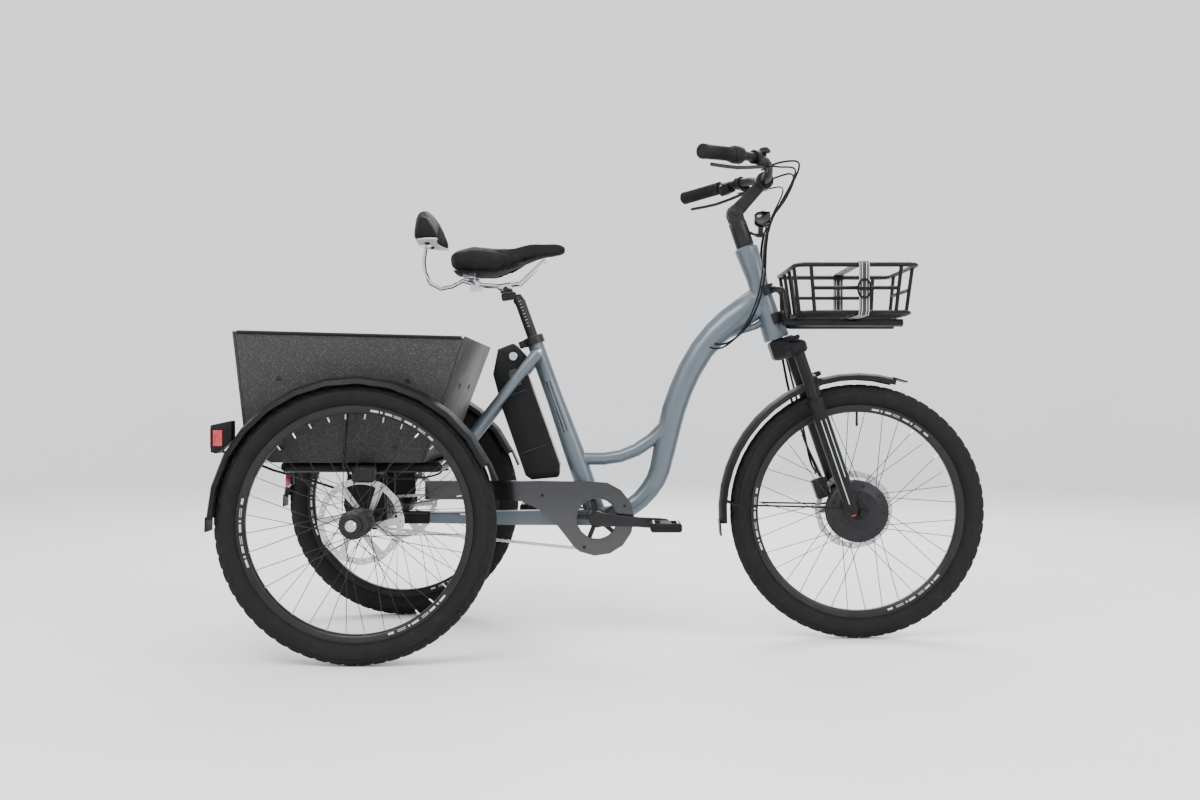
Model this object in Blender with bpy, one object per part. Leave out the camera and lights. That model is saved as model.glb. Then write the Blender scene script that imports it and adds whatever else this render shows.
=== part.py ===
"""Electric cargo tricycle: welded frame, sprung front fork, hub motor, open
cargo box between two rear wheels.  Metres, +X forward, +Y left, +Z up,
origin on the ground at the middle of the outer box."""
import math
import bpy
import bmesh
from mathutils import Vector, Matrix

# ------------------------------------------------------------------ sizes
FRONT_AXLE_X = 0.58335       # front axle from the origin
WHEEL_BASE = 1.152
WHEEL_R = 0.3075             # 24 inch wheel with a 54 mm tyre
TYRE_W = 0.055
HALF_TRACK = 0.340
HEAD_ANGLE = 18.8            # steering axis leans back from the vertical
HEAD_POINT = (-0.2319, 0.8371)   # x from the front axle, z
LEG_Y = 0.065                # fork leg from the middle plane
LEG_N = 0.030                # fork leg ahead of the steering axis
BB = (-0.630, 0.2945)        # crank axle
SEAT_TOP = (-0.7855, 0.7277)
CRANK_LEN = 0.160
PEDAL_Y = 0.155
POST_R = 0.0135
BOX_WALL = 0.006
MUDGUARD_R = 0.330
GAP = 0.0004

# ------------------------------------------------------------------ tools
for o in list(bpy.data.objects):
    bpy.data.objects.remove(o, do_unlink=True)

SCENE = bpy.context.scene.collection
AX = math.radians(HEAD_ANGLE)
U = Vector((-math.sin(AX), 0.0, math.cos(AX)))      # up the steering axis
N = Vector((math.cos(AX), 0.0, math.sin(AX)))       # ahead of it
YY = Vector((0.0, 1.0, 0.0))


def P(x, z, y=0.0):
    """Point from x measured from the front axle, height z and side y."""
    return Vector((FRONT_AXLE_X + x, y, z))


def S(t, n=0.0, y=0.0):
    """Point t up the steering axis from the head point and n ahead."""
    return P(HEAD_POINT[0], HEAD_POINT[1]) + U * t + N * n + YY * y


AXLE_F = P(0.0, WHEEL_R)
AXLE_R = P(-WHEEL_BASE, WHEEL_R)
BBP = P(*BB)
SEAT_DIR = (P(*SEAT_TOP) - BBP).normalized()
SEAT_BACK = Vector((-SEAT_DIR.z, 0.0, SEAT_DIR.x))   # square to it, rearward


def Q(a, b, y=0.0):
    """Point a up the seat tube from the crank axle and b behind its axis."""
    return BBP + SEAT_DIR * a + SEAT_BACK * b + YY * y


def to_obj(bm, weld=True):
    if weld:
        bmesh.ops.remove_doubles(bm, verts=bm.verts, dist=1e-6)
    bmesh.ops.recalc_face_normals(bm, faces=bm.faces)
    me = bpy.data.meshes.new("piece")
    bm.to_mesh(me)
    bm.free()
    ob = bpy.data.objects.new("piece", me)
    SCENE.objects.link(ob)
    return ob


def loft(rings, caps=True, loop=False):
    """Skin through rings of points with the same count."""
    bm = bmesh.new()
    vs = [[bm.verts.new(p) for p in ring] for ring in rings]
    n = len(rings[0])
    last = len(vs) if loop else len(vs) - 1
    for i in range(last):
        a, b = vs[i], vs[(i + 1) % len(vs)]
        for k in range(n):
            bm.faces.new((a[k], a[(k + 1) % n], b[(k + 1) % n], b[k]))
    if caps and not loop:
        bm.faces.new(vs[0])
        bm.faces.new(vs[-1])
    return to_obj(bm)


def curve(pts, per=3):
    """Smooth curve through the points, per steps a span."""
    p = [Vector(q) for q in pts]
    e = [p[0] * 2 - p[1]] + p + [p[-1] * 2 - p[-2]]
    out = []
    for i in range(1, len(e) - 2):
        a, b, c, d = e[i - 1], e[i], e[i + 1], e[i + 2]
        for k in range(per):
            t = k / per
            out.append(0.5 * (b * 2 + (c - a) * t + (a * 2 - b * 5 + c * 4 - d) * t * t
                              + (b * 3 - a - c * 3 + d) * t ** 3))
    out.append(p[-1])
    return out


def tube(pts, r, seg=10, wide=None, turn=0.0):
    """Solid tube along points; r is its radius in its own plane, wide the
    radius across; both may be lists."""
    p = [Vector(q) for q in pts]
    n = len(p)
    rr = r if isinstance(r, (list, tuple)) else [r] * n
    ww = rr if wide is None else (wide if isinstance(wide, (list, tuple)) else [wide] * n)
    tang = []
    for i in range(n):
        a = (p[i] - p[i - 1]).normalized() if i else None
        b = (p[i + 1] - p[i]).normalized() if i < n - 1 else None
        tang.append(((a or b) + (b or a)).normalized())
    ref = YY if abs(tang[0].dot(YY)) < 0.9 else Vector((0.0, 0.0, 1.0))
    side = (ref - tang[0] * ref.dot(tang[0])).normalized()
    rings = []
    for i in range(n):
        side = (side - tang[i] * side.dot(tang[i])).normalized()
        up = tang[i].cross(side)
        k = 1.0
        if 0 < i < n - 1:
            c = (p[i] - p[i - 1]).normalized().dot((p[i + 1] - p[i]).normalized())
            k = 1.0 / max(0.5, math.sqrt((1 + max(-1.0, c)) / 2))
        ring = []
        for j in range(seg):
            a = 2 * math.pi * (j + 0.5) / seg + turn
            ring.append(p[i] + side * (ww[i] * math.cos(a)) + up * (rr[i] * k * math.sin(a)))
        rings.append(ring)
    return loft(rings)


def frame_of(axis):
    axis = Vector(axis).normalized()
    ref = Vector((0.0, 0.0, 1.0)) if abs(axis.z) < 0.9 else Vector((1.0, 0.0, 0.0))
    u = (ref - axis * ref.dot(axis)).normalized()
    return axis, u, axis.cross(u)


def lathe(profile, origin, axis, seg=24, phase=0.0):
    """Turned solid: profile of (radius, height) run round the axis."""
    w, u, v = frame_of(axis)
    o = Vector(origin)
    bm = bmesh.new()
    rings = []
    for r, h in profile:
        if r < 1e-7:
            rings.append([bm.verts.new(o + w * h)])
        else:
            rings.append([bm.verts.new(o + w * h + (u * math.cos(a) + v * math.sin(a)) * r)
                          for a in (2 * math.pi * (k + phase) / seg for k in range(seg))])
    m = len(rings)
    for i in range(m):
        a, b = rings[i], rings[(i + 1) % m]
        if len(a) == 1 and len(b) == 1:
            continue
        for k in range(seg):
            k2 = (k + 1) % seg
            if len(a) == 1:
                bm.faces.new((a[0], b[k], b[k2]))
            elif len(b) == 1:
                bm.faces.new((a[k], a[k2], b[0]))
            else:
                bm.faces.new((a[k], a[k2], b[k2], b[k]))
    return to_obj(bm)


def rod(a, b, r, seg=12, r2=None):
    """Round bar between two points."""
    a, b = Vector(a), Vector(b)
    h = (b - a).length
    return lathe([(0, 0), (r, 0), (r2 if r2 is not None else r, h), (0, h)], a, b - a, seg)


def pipe(a, b, r, bore, seg=16):
    """Hollow tube between two points, open at both ends."""
    a, b = Vector(a), Vector(b)
    h = (b - a).length
    return lathe([(bore, 0), (r, 0), (r, h), (bore, h)], a, b - a, seg)


def block(c, size, rot=None, bevel=0.0, steps=1):
    """Box about its middle, edges rounded by bevel."""
    bm = bmesh.new()
    bmesh.ops.create_cube(bm, size=1.0)
    bmesh.ops.scale(bm, vec=Vector(size), verts=bm.verts)
    if bevel > 0:
        bmesh.ops.bevel(bm, geom=list(bm.edges), offset=bevel, segments=steps,
                        affect='EDGES', profile=0.5)
    m = Matrix.Translation(Vector(c))
    if rot is not None:
        m = m @ rot.to_4x4()
    bmesh.ops.transform(bm, matrix=m, verts=bm.verts)
    return to_obj(bm, weld=False)


def basis(x, y, z):
    return Matrix((x, y, z)).transposed()


def plate(outline, y0, y1, holes=(), place=None):
    """Flat plate of an outline with holes.  place maps (a, b, y) to a point;
    by default a is x from the front axle and b is z."""
    place = place or (lambda a, b, y: P(a, b, y))
    bm = bmesh.new()
    edges = []
    for loop in [outline] + list(holes):
        vs = [bm.verts.new((a, b, 0.0)) for a, b in loop]
        edges += [bm.edges.new((vs[i], vs[(i + 1) % len(vs)])) for i in range(len(vs))]
    bmesh.ops.triangle_fill(bm, use_beauty=True, use_dissolve=False, edges=edges, normal=(0, 0, 1))
    res = bmesh.ops.extrude_face_region(bm, geom=list(bm.faces))
    top = {v for v in res["geom"] if isinstance(v, bmesh.types.BMVert)}
    for v in bm.verts:
        v.co = place(v.co.x, v.co.y, y1 if v in top else y0)
    return to_obj(bm)


def circle(a, b, r, seg=24, phase=0.0):
    return [(a + r * math.cos(2 * math.pi * (k + phase) / seg),
             b + r * math.sin(2 * math.pi * (k + phase) / seg)) for k in range(seg)]


def arc_sweep(section, centre, a0, a1, seg):
    """Section of (radius, y) swept about a Y axis; the angle is measured from
    straight up, positive forward."""
    rings = []
    for i in range(seg + 1):
        a = math.radians(a0 + (a1 - a0) * i / seg)
        rings.append([Vector((centre.x + r * math.sin(a), y, centre.z + r * math.cos(a)))
                      for r, y in section])
    return loft(rings)


def boolean(base, tools, op):
    if not tools:
        return base
    col = bpy.data.collections.new("tools")
    SCENE.children.link(col)
    for t in tools:
        SCENE.objects.unlink(t)
        col.objects.link(t)
    m = base.modifiers.new("b", 'BOOLEAN')
    m.operation = op
    m.solver = 'EXACT'
    m.operand_type = 'COLLECTION'
    m.collection = col
    dg = bpy.context.evaluated_depsgraph_get()
    dg.update()
    me = bpy.data.meshes.new_from_object(base.evaluated_get(dg))
    base.modifiers.clear()
    base.data = me
    for t in tools:
        bpy.data.objects.remove(t, do_unlink=True)
    bpy.data.collections.remove(col)
    return base


def union(*pieces):
    return boolean(pieces[0], list(pieces[1:]), 'UNION')


def cut(base, *tools):
    return boolean(base, list(tools), 'DIFFERENCE')


MATS = {}


def mat(name, rgb, rough, metal):
    if name not in MATS:
        m = bpy.data.materials.new(name)
        m.use_nodes = True
        b = m.node_tree.nodes["Principled BSDF"]
        b.inputs["Base Color"].default_value = (*rgb, 1.0)
        b.inputs["Roughness"].default_value = rough
        b.inputs["Metallic"].default_value = metal
        MATS[name] = m
    return MATS[name]


GREY = ("frame_paint", (0.11, 0.15, 0.185), 0.38, 0.35)
BLACK = ("black_paint", (0.02, 0.02, 0.021), 0.45, 0.1)
RUBBER = ("tyre_rubber", (0.022, 0.022, 0.022), 0.85, 0.0)
PLASTIC = ("black_plastic", (0.03, 0.03, 0.031), 0.5, 0.0)
STEEL = ("steel", (0.55, 0.56, 0.57), 0.3, 1.0)
PANEL = ("box_panel", (0.06, 0.056, 0.054), 0.7, 0.0)
LEATHER = ("saddle_cover", (0.025, 0.025, 0.026), 0.55, 0.0)
RED = ("red_lens", (0.5, 0.01, 0.01), 0.2, 0.0)
CHROME = ("chrome", (0.8, 0.8, 0.8), 0.12, 1.0)
WHITE = ("rail_strip", (0.7, 0.62, 0.62), 0.5, 0.0)
GLASS = ("lamp_black", (0.03, 0.03, 0.032), 0.3, 0.0)

BODY = {}


def body(name, at, parent=None):
    e = bpy.data.objects.new("body_" + name, None)
    e.empty_display_size = 0.05
    SCENE.objects.link(e)
    e.location = at
    if parent:
        e.parent = BODY[parent]
        e.matrix_parent_inverse = BODY[parent].matrix_world.inverted()
    bpy.context.view_layer.update()
    BODY[name] = e


def done(ob, name, material, body_name=None, angle=32):
    """Name the piece, give it its material, shade it and hang it on its body."""
    ob.name = name
    ob.data.name = name
    ob.data.materials.clear()
    ob.data.materials.append(mat(*material))
    ob.data.shade_smooth()
    ob.data.set_sharp_from_angle(angle=math.radians(angle))
    if body_name:
        ob.parent = BODY[body_name]
        ob.matrix_parent_inverse = BODY[body_name].matrix_world.inverted()
    return ob


# ----------------------------------------------------------------- bodies
PIVOT = P(-0.2955, 1.0306)
CLAMP = P(-0.225, 1.107)
LAMP_PIVOT = P(-0.2335, 0.9855)
SADDLE_PIVOT = P(-0.8535, 0.8443)
PEDAL_R_AXIS = BBP + Vector((CRANK_LEN * math.cos(math.radians(-3.6)), -PEDAL_Y,
                             CRANK_LEN * math.sin(math.radians(-3.6))))
PEDAL_L_AXIS = BBP + Vector((-CRANK_LEN * math.cos(math.radians(-3.6)), PEDAL_Y,
                             -CRANK_LEN * math.sin(math.radians(-3.6))))


def bar_side(s):
    """Grip axis on side s: start, end, direction."""
    a = P(-0.303, 1.130, s * 0.220)
    b = P(-0.400, 1.118, s * 0.335)
    return a, b, (b - a).normalized()


LEVER_PIVOT = {s: P(-0.243, 1.1125, s * 0.178) for s in (-1, 1)}
LOCK_AT = P(-0.831, 0.6814, -0.0405)
KNOB_AT = S(-0.1345, LEG_N, -LEG_Y)

body("frame", (0, 0, 0))
body("steering", S(0), "frame")
body("stem", PIVOT, "steering")
body("headlight", LAMP_PIVOT, "steering")
body("fork_knob", KNOB_AT, "steering")
body("fork_lowers", S(-0.40), "steering")
body("front_wheel", AXLE_F, "fork_lowers")
body("shifter", bar_side(-1)[0], "stem")
body("lever_right", LEVER_PIVOT[-1], "stem")
body("lever_left", LEVER_PIVOT[1], "stem")
body("wheel_right", AXLE_R - YY * HALF_TRACK, "frame")
body("wheel_left", AXLE_R + YY * HALF_TRACK, "frame")
body("cassette", AXLE_R, "frame")
body("crank", BBP, "frame")
body("pedal_right", PEDAL_R_AXIS, "crank")
body("pedal_left", PEDAL_L_AXIS, "crank")
body("seatpost", P(*SEAT_TOP), "frame")
body("saddle", SADDLE_PIVOT, "seatpost")
body("battery", Q(0.25, 0.09), "frame")
body("battery_lock", LOCK_AT, "battery")

# ----------------------------------------------------------------- wheels
TYRE = [(0.2545, -0.0150), (0.2740, -0.0270), (0.2960, -0.0225), (0.3075, -0.0060),
        (0.3075, 0.0060), (0.2960, 0.0225), (0.2740, 0.0270), (0.2545, 0.0150)]
RIM = [(0.2400, -0.0100), (0.2540, -0.0148), (0.2540, 0.0148), (0.2400, 0.0100)]


def spokes(c, flange_r, flange_y, lean, outer=0.2382):
    """Straight spokes from each flange, leaning opposite ways."""
    out = []
    for side in (1, -1):
        phase = 0.0 if side > 0 else 2 * lean + 20
        for k in range(9):
            a = math.radians(40 * k + phase)
            b = a + math.radians(lean) * side
            p = c + Vector((flange_r * math.sin(a), side * flange_y, flange_r * math.cos(a)))
            q = c + Vector((outer * math.sin(b), side * 0.003, outer * math.cos(b)))
            out.append(tube([p, q], 0.0012, 4))
    return out


def rotor(name, c, y, r_out, centre_r, holder):
    """Vented brake disc: wavy band, six swept arms, open centre."""
    out = [((r_out - (0.0022 if k % 2 else 0.0)) * math.cos(math.radians(k * 15)),
            (r_out - (0.0022 if k % 2 else 0.0)) * math.sin(math.radians(k * 15)))
           for k in range(24)]
    holes = [circle(0, 0, centre_r, 12)]
    for k in range(5):
        a = k * 72
        ring = [(r_out - 0.019, a + 6), (r_out - 0.018, a + 34), (r_out - 0.019, a + 60),
                (centre_r + 0.011, a + 24), (centre_r + 0.011, a - 18)]
        holes.append([(r * math.cos(math.radians(d)), r * math.sin(math.radians(d)))
                      for r, d in ring])
    ob = plate(out, y - 0.001, y + 0.001, holes,
               lambda a, b, yy: Vector((c.x + a, yy, c.z + b)))
    done(ob, name, STEEL, holder, 20)


def wheel(name, c, holder):
    done(lathe(TYRE, c, YY, 32), name + "_tyre", RUBBER, holder, 40)
    rim = lathe(RIM, c, YY, 32)
    valve = rod(c + Vector((0, 0, 0.2415)), c + Vector((0, 0, 0.206)), 0.0030, 5)
    done(union(rim, valve), name + "_rim", BLACK, holder, 30)


for side, tag in ((-1, "right"), (1, "left")):
    c = AXLE_R + YY * side * HALF_TRACK
    nm = "rear_%s" % tag
    hold = "wheel_" + tag
    wheel(nm, c, hold)
    inner = 0.0690 if side < 0 else -0.0350
    prof = [(0.0092, 0.2765), (0.0185, 0.2765), (0.0185, 0.3090), (0.0310, 0.3095), (0.0310, 0.3125), (0.0180, 0.3160),
            (0.0180, 0.3640), (0.0310, 0.3675), (0.0310, 0.3705), (0.0200, 0.3850), (0.0092, 0.3850)]
    hub = lathe(prof, P(-WHEEL_BASE, WHEEL_R), YY * side, 14)
    done(union(hub, *spokes(c, 0.0285, 0.0290, 55)), nm + "_hub", BLACK, hold, 30)
    shaft = [(0, inner), (0.0085, inner), (0.0085, 0.3855), (0.0125, 0.3855), (0.0125, 0.3960), (0.0080, 0.4000), (0, 0.4000)]
    done(lathe(shaft, P(-WHEEL_BASE, WHEEL_R), YY * side, 12), nm + "_axle", STEEL, hold, 30)
    rotor(nm + "_rotor", c, side * 0.2790, 0.0970, 0.0200, hold)

wheel("front", AXLE_F, "front_wheel")
motor = lathe([(0.0070, -0.0360), (0.0180, -0.0360), (0.0200, -0.0260), (0.0530, -0.0240),
               (0.0740, -0.0185), (0.0745, -0.0125), (0.0745, 0.0125), (0.0740, 0.0185),
               (0.0530, 0.0240), (0.0220, 0.0260), (0.0200, 0.0460), (0.0070, 0.0460)],
              AXLE_F, YY, 22)
done(union(motor, *spokes(AXLE_F, 0.0715, 0.0155, 16)), "front_motor_hub", BLACK, "front_wheel", 30)
rotor("front_rotor", AXLE_F, 0.0410, 0.0955, 0.0225, "front_wheel")

# ------------------------------------------------------------------- fork
steerer = lathe([(0, -0.170), (0.0145, -0.170), (0.0145, 0.178), (0, 0.178)], S(0), U, 12)
crown_rings = []
for y, n0, n1, t0, t1 in ((-0.087, 0.014, 0.046, -0.160, -0.146), (-0.078, 0.008, 0.052, -0.168, -0.1390),
                          (-0.045, 0.000, 0.048, -0.170, -0.1345), (-0.024, -0.024, 0.040, -0.168, -0.1200),
                          (0.024, -0.024, 0.040, -0.168, -0.1200), (0.045, 0.000, 0.048, -0.170, -0.1345),
                          (0.078, 0.008, 0.052, -0.168, -0.1390), (0.087, 0.014, 0.046, -0.160, -0.146)):
    k = 0.006
    crown_rings.append([S(t, n, y) for t, n in ((t0, n0 + k), (t0 + k, n0), (t1 - k, n0), (t1, n0 + k),
                                                 (t1, n1 - k), (t1 - k, n1), (t0 + k, n1), (t0, n1 - k))])
crown = loft(crown_rings)
legs = [lathe([(0, -0.44), (0.0140, -0.44), (0.0140, -0.15), (0, -0.15)],
              S(0, LEG_N, s * LEG_Y), U, 12) for s in (-1, 1)]
fork = union(crown, steerer, *legs)
done(fork, "fork_crown_stanchions", BLACK, "steering", 30)

# fork lowers: two bored legs, bridge, dropouts with the wheel axle
parts = []
bores = []
for s in (-1, 1):
    parts.append(lathe([(0, -0.572), (0.0150, -0.572), (0.0185, -0.560), (0.0190, -0.300),
                        (0.0212, -0.296), (0.0212, -0.283), (0, -0.283)],
                       S(0, LEG_N, s * LEG_Y), U, 12))
    bores.append(lathe([(0, -0.510), (0.0146, -0.510), (0.0146, -0.200), (0, -0.200)],
                       S(0, LEG_N, s * LEG_Y), U, 12))
    drop = [(-0.590, 0.036), (-0.592, 0.050), (-0.584, 0.064), (-0.570, 0.068), (-0.556, 0.062),
            (-0.535, 0.044), (-0.535, 0.020), (-0.565, 0.020)]
    parts.append(plate(drop, s * LEG_Y - 0.005, s * LEG_Y + 0.005, (),
                       lambda a, b, y: S(a, b, y)))
arch = [S(-0.290, LEG_N + 0.006, -LEG_Y), S(-0.262, LEG_N + 0.012, -0.062), S(-0.240, LEG_N + 0.018, -0.048),
        S(-0.2325, LEG_N + 0.021, -0.022), S(-0.2325, LEG_N + 0.021, 0.022), S(-0.240, LEG_N + 0.018, 0.048),
        S(-0.262, LEG_N + 0.012, 0.062), S(-0.290, LEG_N + 0.006, LEG_Y)]
parts.append(tube(arch, 0.0085, 8, [0.007] * 8))
parts.append(block(S(-0.2300, 0.0600), (0.026, 0.030, 0.012), basis(N, YY, U), 0.003))
lowers = union(*parts)
lowers = cut(lowers, *bores)
lowers = union(lowers, lathe([(0, -0.0790), (0.0075, -0.0790), (0.0095, -0.0760), (0.0095, -0.0680), (0.0060, -0.0680),
                              (0.0060, 0.0680), (0.0095, 0.0680), (0.0095, 0.0760), (0.0075, 0.0790), (0, 0.0790)],
                             AXLE_F, YY, 10))
done(lowers, "fork_lower_legs", BLACK, "fork_lowers", 30)

# front mudguard with its wire stay
SECTION = [(0.3180, -0.0320), (0.3290, -0.0275), (0.3350, -0.0150), (0.3350, 0.0150), (0.3290, 0.0275), (0.3180, 0.0320),
           (0.3176, 0.0304), (0.3276, 0.0263), (0.3334, 0.0142), (0.3334, -0.0142), (0.3276, -0.0263), (0.3176, -0.0304)]


def guard(section, centre, a0, a1, seg, flap0, flap1, half):
    """Bent strip over a wheel with a rubber flap at each end."""
    g = arc_sweep(section, centre, a0, a1, seg)
    flaps = []
    for ang, ln in ((a0, -flap0), (a1, flap1)):
        if not ln:
            continue
        a = math.radians(ang)
        rad = Vector((math.sin(a), 0, math.cos(a)))
        tan = Vector((math.cos(a), 0, -math.sin(a)))
        c = centre + rad * (section[2][0] - 0.0012) + tan * (ln * 0.5 - math.copysign(0.004, ln))
        flaps.append(block(c, (abs(ln) + 0.008, half * 1.5, 0.0036), basis(tan, YY, rad)))
    return g, flaps


g, flaps = guard(SECTION, AXLE_F, -95, 16, 14, 0.030, 0.028, 0.030)
stays = []
for s in (-1, 1):
    stays.append(tube([AXLE_F + Vector((-0.3255, s * 0.0283, 0.028)), AXLE_F + Vector((-0.300, s * 0.0440, 0.018)),
                       S(-0.548, LEG_N - 0.0235, s * 0.0600)], 0.0022, 6))
done(union(g, *flaps, *stays), "front_mudguard", PLASTIC, "fork_lowers", 40)

# front brake caliper behind the left leg, over the disc
cal = block(S(-0.5000, -0.0100, 0.0480), (0.034, 0.036, 0.050), basis(N, YY, U), 0.004)
slot = lathe([(0, 0.0384), (0.0985, 0.0384), (0.0985, 0.0436), (0, 0.0436)], AXLE_F, YY, 48)
arm = block(S(-0.4860, 0.0020, 0.0560), (0.030, 0.008, 0.016), basis(N, YY, U), 0.002)
cal = cut(union(cal, arm), slot, lathe([(0, -0.6), (0.0198, -0.6), (0.0198, -0.25), (0, -0.25)],
                                       S(0, LEG_N, LEG_Y), U, 18))
done(cal, "front_brake_caliper", BLACK, "fork_lowers")

knob = lathe([(0, -0.1342), (0.0125, -0.1342), (0.0150, -0.1325), (0.0150, -0.1265), (0.0125, -0.1240), (0, -0.1240)],
             S(0.0, LEG_N, -LEG_Y), U, 14)
done(knob, "fork_lockout_knob", BLACK, "fork_knob")

# -------------------------------------------------------- stem and handlebar
ribs = [(0.0152, 0.1184), (0.0225, 0.1184), (0.0220, 0.1800), (0.0190, 0.1830), (0.0152, 0.1830)]
base = lathe(ribs, S(0), U, 16)
ears = []
for s in (-1, 1):
    ear = [(0.1700, -0.0170), (0.2037, -0.0190)] + \
          [(0.2037 + 0.019 * math.sin(a), -0.019 * math.cos(a)) for a in
           (math.radians(d) for d in (45, 90, 135))] + [(0.2037, 0.0190), (0.1700, 0.0170)]
    y0, y1 = sorted((s * 0.0125, s * 0.0195))
    ears.append(plate(ear, y0, y1, (), lambda a, b, y: S(a, b, y)))
base = cut(union(base, *ears), rod(S(0.1), S(0.1790), 0.0151, 12))
base = union(base, lathe([(0, -0.0245), (0.0075, -0.0245), (0.0075, -0.0180), (0.0041, -0.0160), (0.0041, 0.0160),
                          (0.0075, 0.0180), (0.0075, 0.0245), (0, 0.0245)], PIVOT, YY, 8))

d = (CLAMP - PIVOT).normalized()
e = Vector((-d.z, 0, d.x))


def at(a, b, y=0.0):
    return PIVOT + d * a + e * b + YY * y


reach = (CLAMP - PIVOT).length
tongue = lathe([(0, -0.0120), (0.0175, -0.0120), (0.0175, 0.0120), (0, 0.0120)], PIVOT, YY, 16)
rings = []
for a, hb, hy in ((0.004, 0.0165, 0.0118), (0.022, 0.0165, 0.0118), (0.034, 0.0155, 0.0165), (0.075, 0.0145, 0.0185), (reach, 0.0140, 0.0185)):
    k = 0.004
    rings.append([at(a, b, y) for b, y in ((-hb, -hy + k), (-hb + k, -hy), (hb - k, -hy), (hb, -hy + k),
                                           (hb, hy - k), (hb - k, hy), (-hb + k, hy), (-hb, hy - k))])
arm = loft(rings)
ring = lathe([(0, -0.0230), (0.0200, -0.0230), (0.0215, -0.0210), (0.0215, 0.0210), (0.0200, 0.0230), (0, 0.0230)], CLAMP, YY, 16)
stem = cut(union(tongue, arm, ring), rod(CLAMP - YY * 0.05, CLAMP + YY * 0.05, 0.0134, 12),
           rod(PIVOT - YY * 0.03, PIVOT + YY * 0.03, 0.0046, 8))
done(stem, "stem_arm", BLACK, "stem")

half = [CLAMP, CLAMP + YY * 0.026, CLAMP + Vector((0.0005, 0.050, 0.001)), P(-0.2240, 1.1135, 0.078), P(-0.2270, 1.1250, 0.108),
        P(-0.2390, 1.1320, 0.138), P(-0.2660, 1.1330, 0.180)]
a, b, _ = bar_side(1)
left = half + [a] + [a + (b - a) * 0.94]
right = [Vector((q.x, -q.y, q.z)) for q in reversed(left)]
pts = right[:-1] + left
mid = len(right) - 1
rad = [0.0127 if abs(i - mid) <= 1 else (0.0120 if abs(i - mid) == 2 else 0.0111) for i in range(len(pts))]
handlebar = tube(pts, rad, 10)
perches = []

for s, tag in ((-1, "right"), (1, "left")):
    a, b, g = bar_side(s)
    ln = (b - a).length
    h0 = 0.0400 if s < 0 else 0.0120
    grip = lathe([(0.0122, h0), (0.0165, h0), (0.0172, h0 + 0.003), (0.0158, h0 + 0.010), (0.0152, h0 + 0.05),
                  (0.0160, ln - 0.014), (0.0172, ln - 0.009), (0.0172, ln - 0.003), (0.0145, ln), (0, ln),
                  (0, ln - 0.004), (0.0122, ln - 0.004)], a, g, 12)
    done(grip, "grip_" + tag, RUBBER, "stem")
    # brake perch: ring round the bar with a lug that carries the lever
    c = P(-0.266, 1.133, s * 0.180)
    dirn = (a - c).normalized()
    ring = lathe([(0, -0.0075), (0.0165, -0.0075), (0.0165, 0.0075), (0, 0.0075)], c, dirn, 12)
    lp = LEVER_PIVOT[s]
    fwd = (lp - c) - dirn * (lp - c).dot(dirn)
    fwd.normalize()
    up = g.cross(fwd).normalized()
    if up.z < 0:
        up = -up
    lug = tube([c + fwd * 0.010, lp - fwd * 0.004, lp + fwd * 0.010 - g * 0.004], [0.0095, 0.0095, 0.0080], 8, [0.0110, 0.0105, 0.0095])
    perch = cut(union(ring, lug),
                block(lp + g * 0.012, (0.070, 0.044, 0.0094), basis(g, up.cross(g), up)),
                rod(lp - up * 0.03, lp + up * 0.03, 0.0027, 10))
    perches.append(perch)
    # lever blade on its pivot pin
    tip = b + fwd * 0.034 - g * 0.012 - up * 0.004
    p1 = lp + g * 0.030 + fwd * 0.004
    mid_p = (p1 + tip) * 0.5 + fwd * 0.006
    blade = tube(curve([lp + g * 0.004, p1, mid_p, tip], 2), 0.0042, 8, None)
    boss = lathe([(0, -0.0042), (0.0085, -0.0042), (0.0085, 0.0042), (0, 0.0042)], lp, up, 14)
    pin = lathe([(0, -0.0135), (0.0024, -0.0135), (0.0024, 0.0135), (0, 0.0135)], lp, up, 8)
    done(union(boss, blade, pin), "brake_lever_" + tag, BLACK, "lever_" + tag)

a, b, g = bar_side(-1)
drum = [(0.0118, 0.0030), (0.0185, 0.0030), (0.0205, 0.0070), (0.0208, 0.0240), (0.0190, 0.0350), (0.0172, 0.0390), (0.0118, 0.0390)]
done(lathe(drum, a, g, 16), "twist_shifter", PLASTIC, "shifter", 40)

c = P(-0.2960, 1.1225, 0.2100)
a, b, g = bar_side(1)
face = Vector((-0.35, 0, 0.94)).normalized()
side = face.cross(g).normalized()
gg = side.cross(face)
box = block(c, (0.034, 0.030, 0.026), basis(gg, side, face), 0.004, 2)
box = cut(box, tube([P(-0.2390, 1.1320, 0.138), P(-0.2660, 1.1330, 0.180), a, a + g * 0.06], 0.0126, 10))
done(box, "display_unit", PLASTIC, "stem")
bell = lathe([(0, -0.012), (0.0050, -0.012), (0.0050, 0.004), (0.0150, 0.006), (0.0145, 0.012), (0.0100, 0.0180), (0, 0.0205)],
             P(-0.2400, 1.1440, -0.1400), (-0.1, 0, 1), 12)
done(union(handlebar, bell, *perches), "handlebar", BLACK, "stem", 32)

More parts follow.
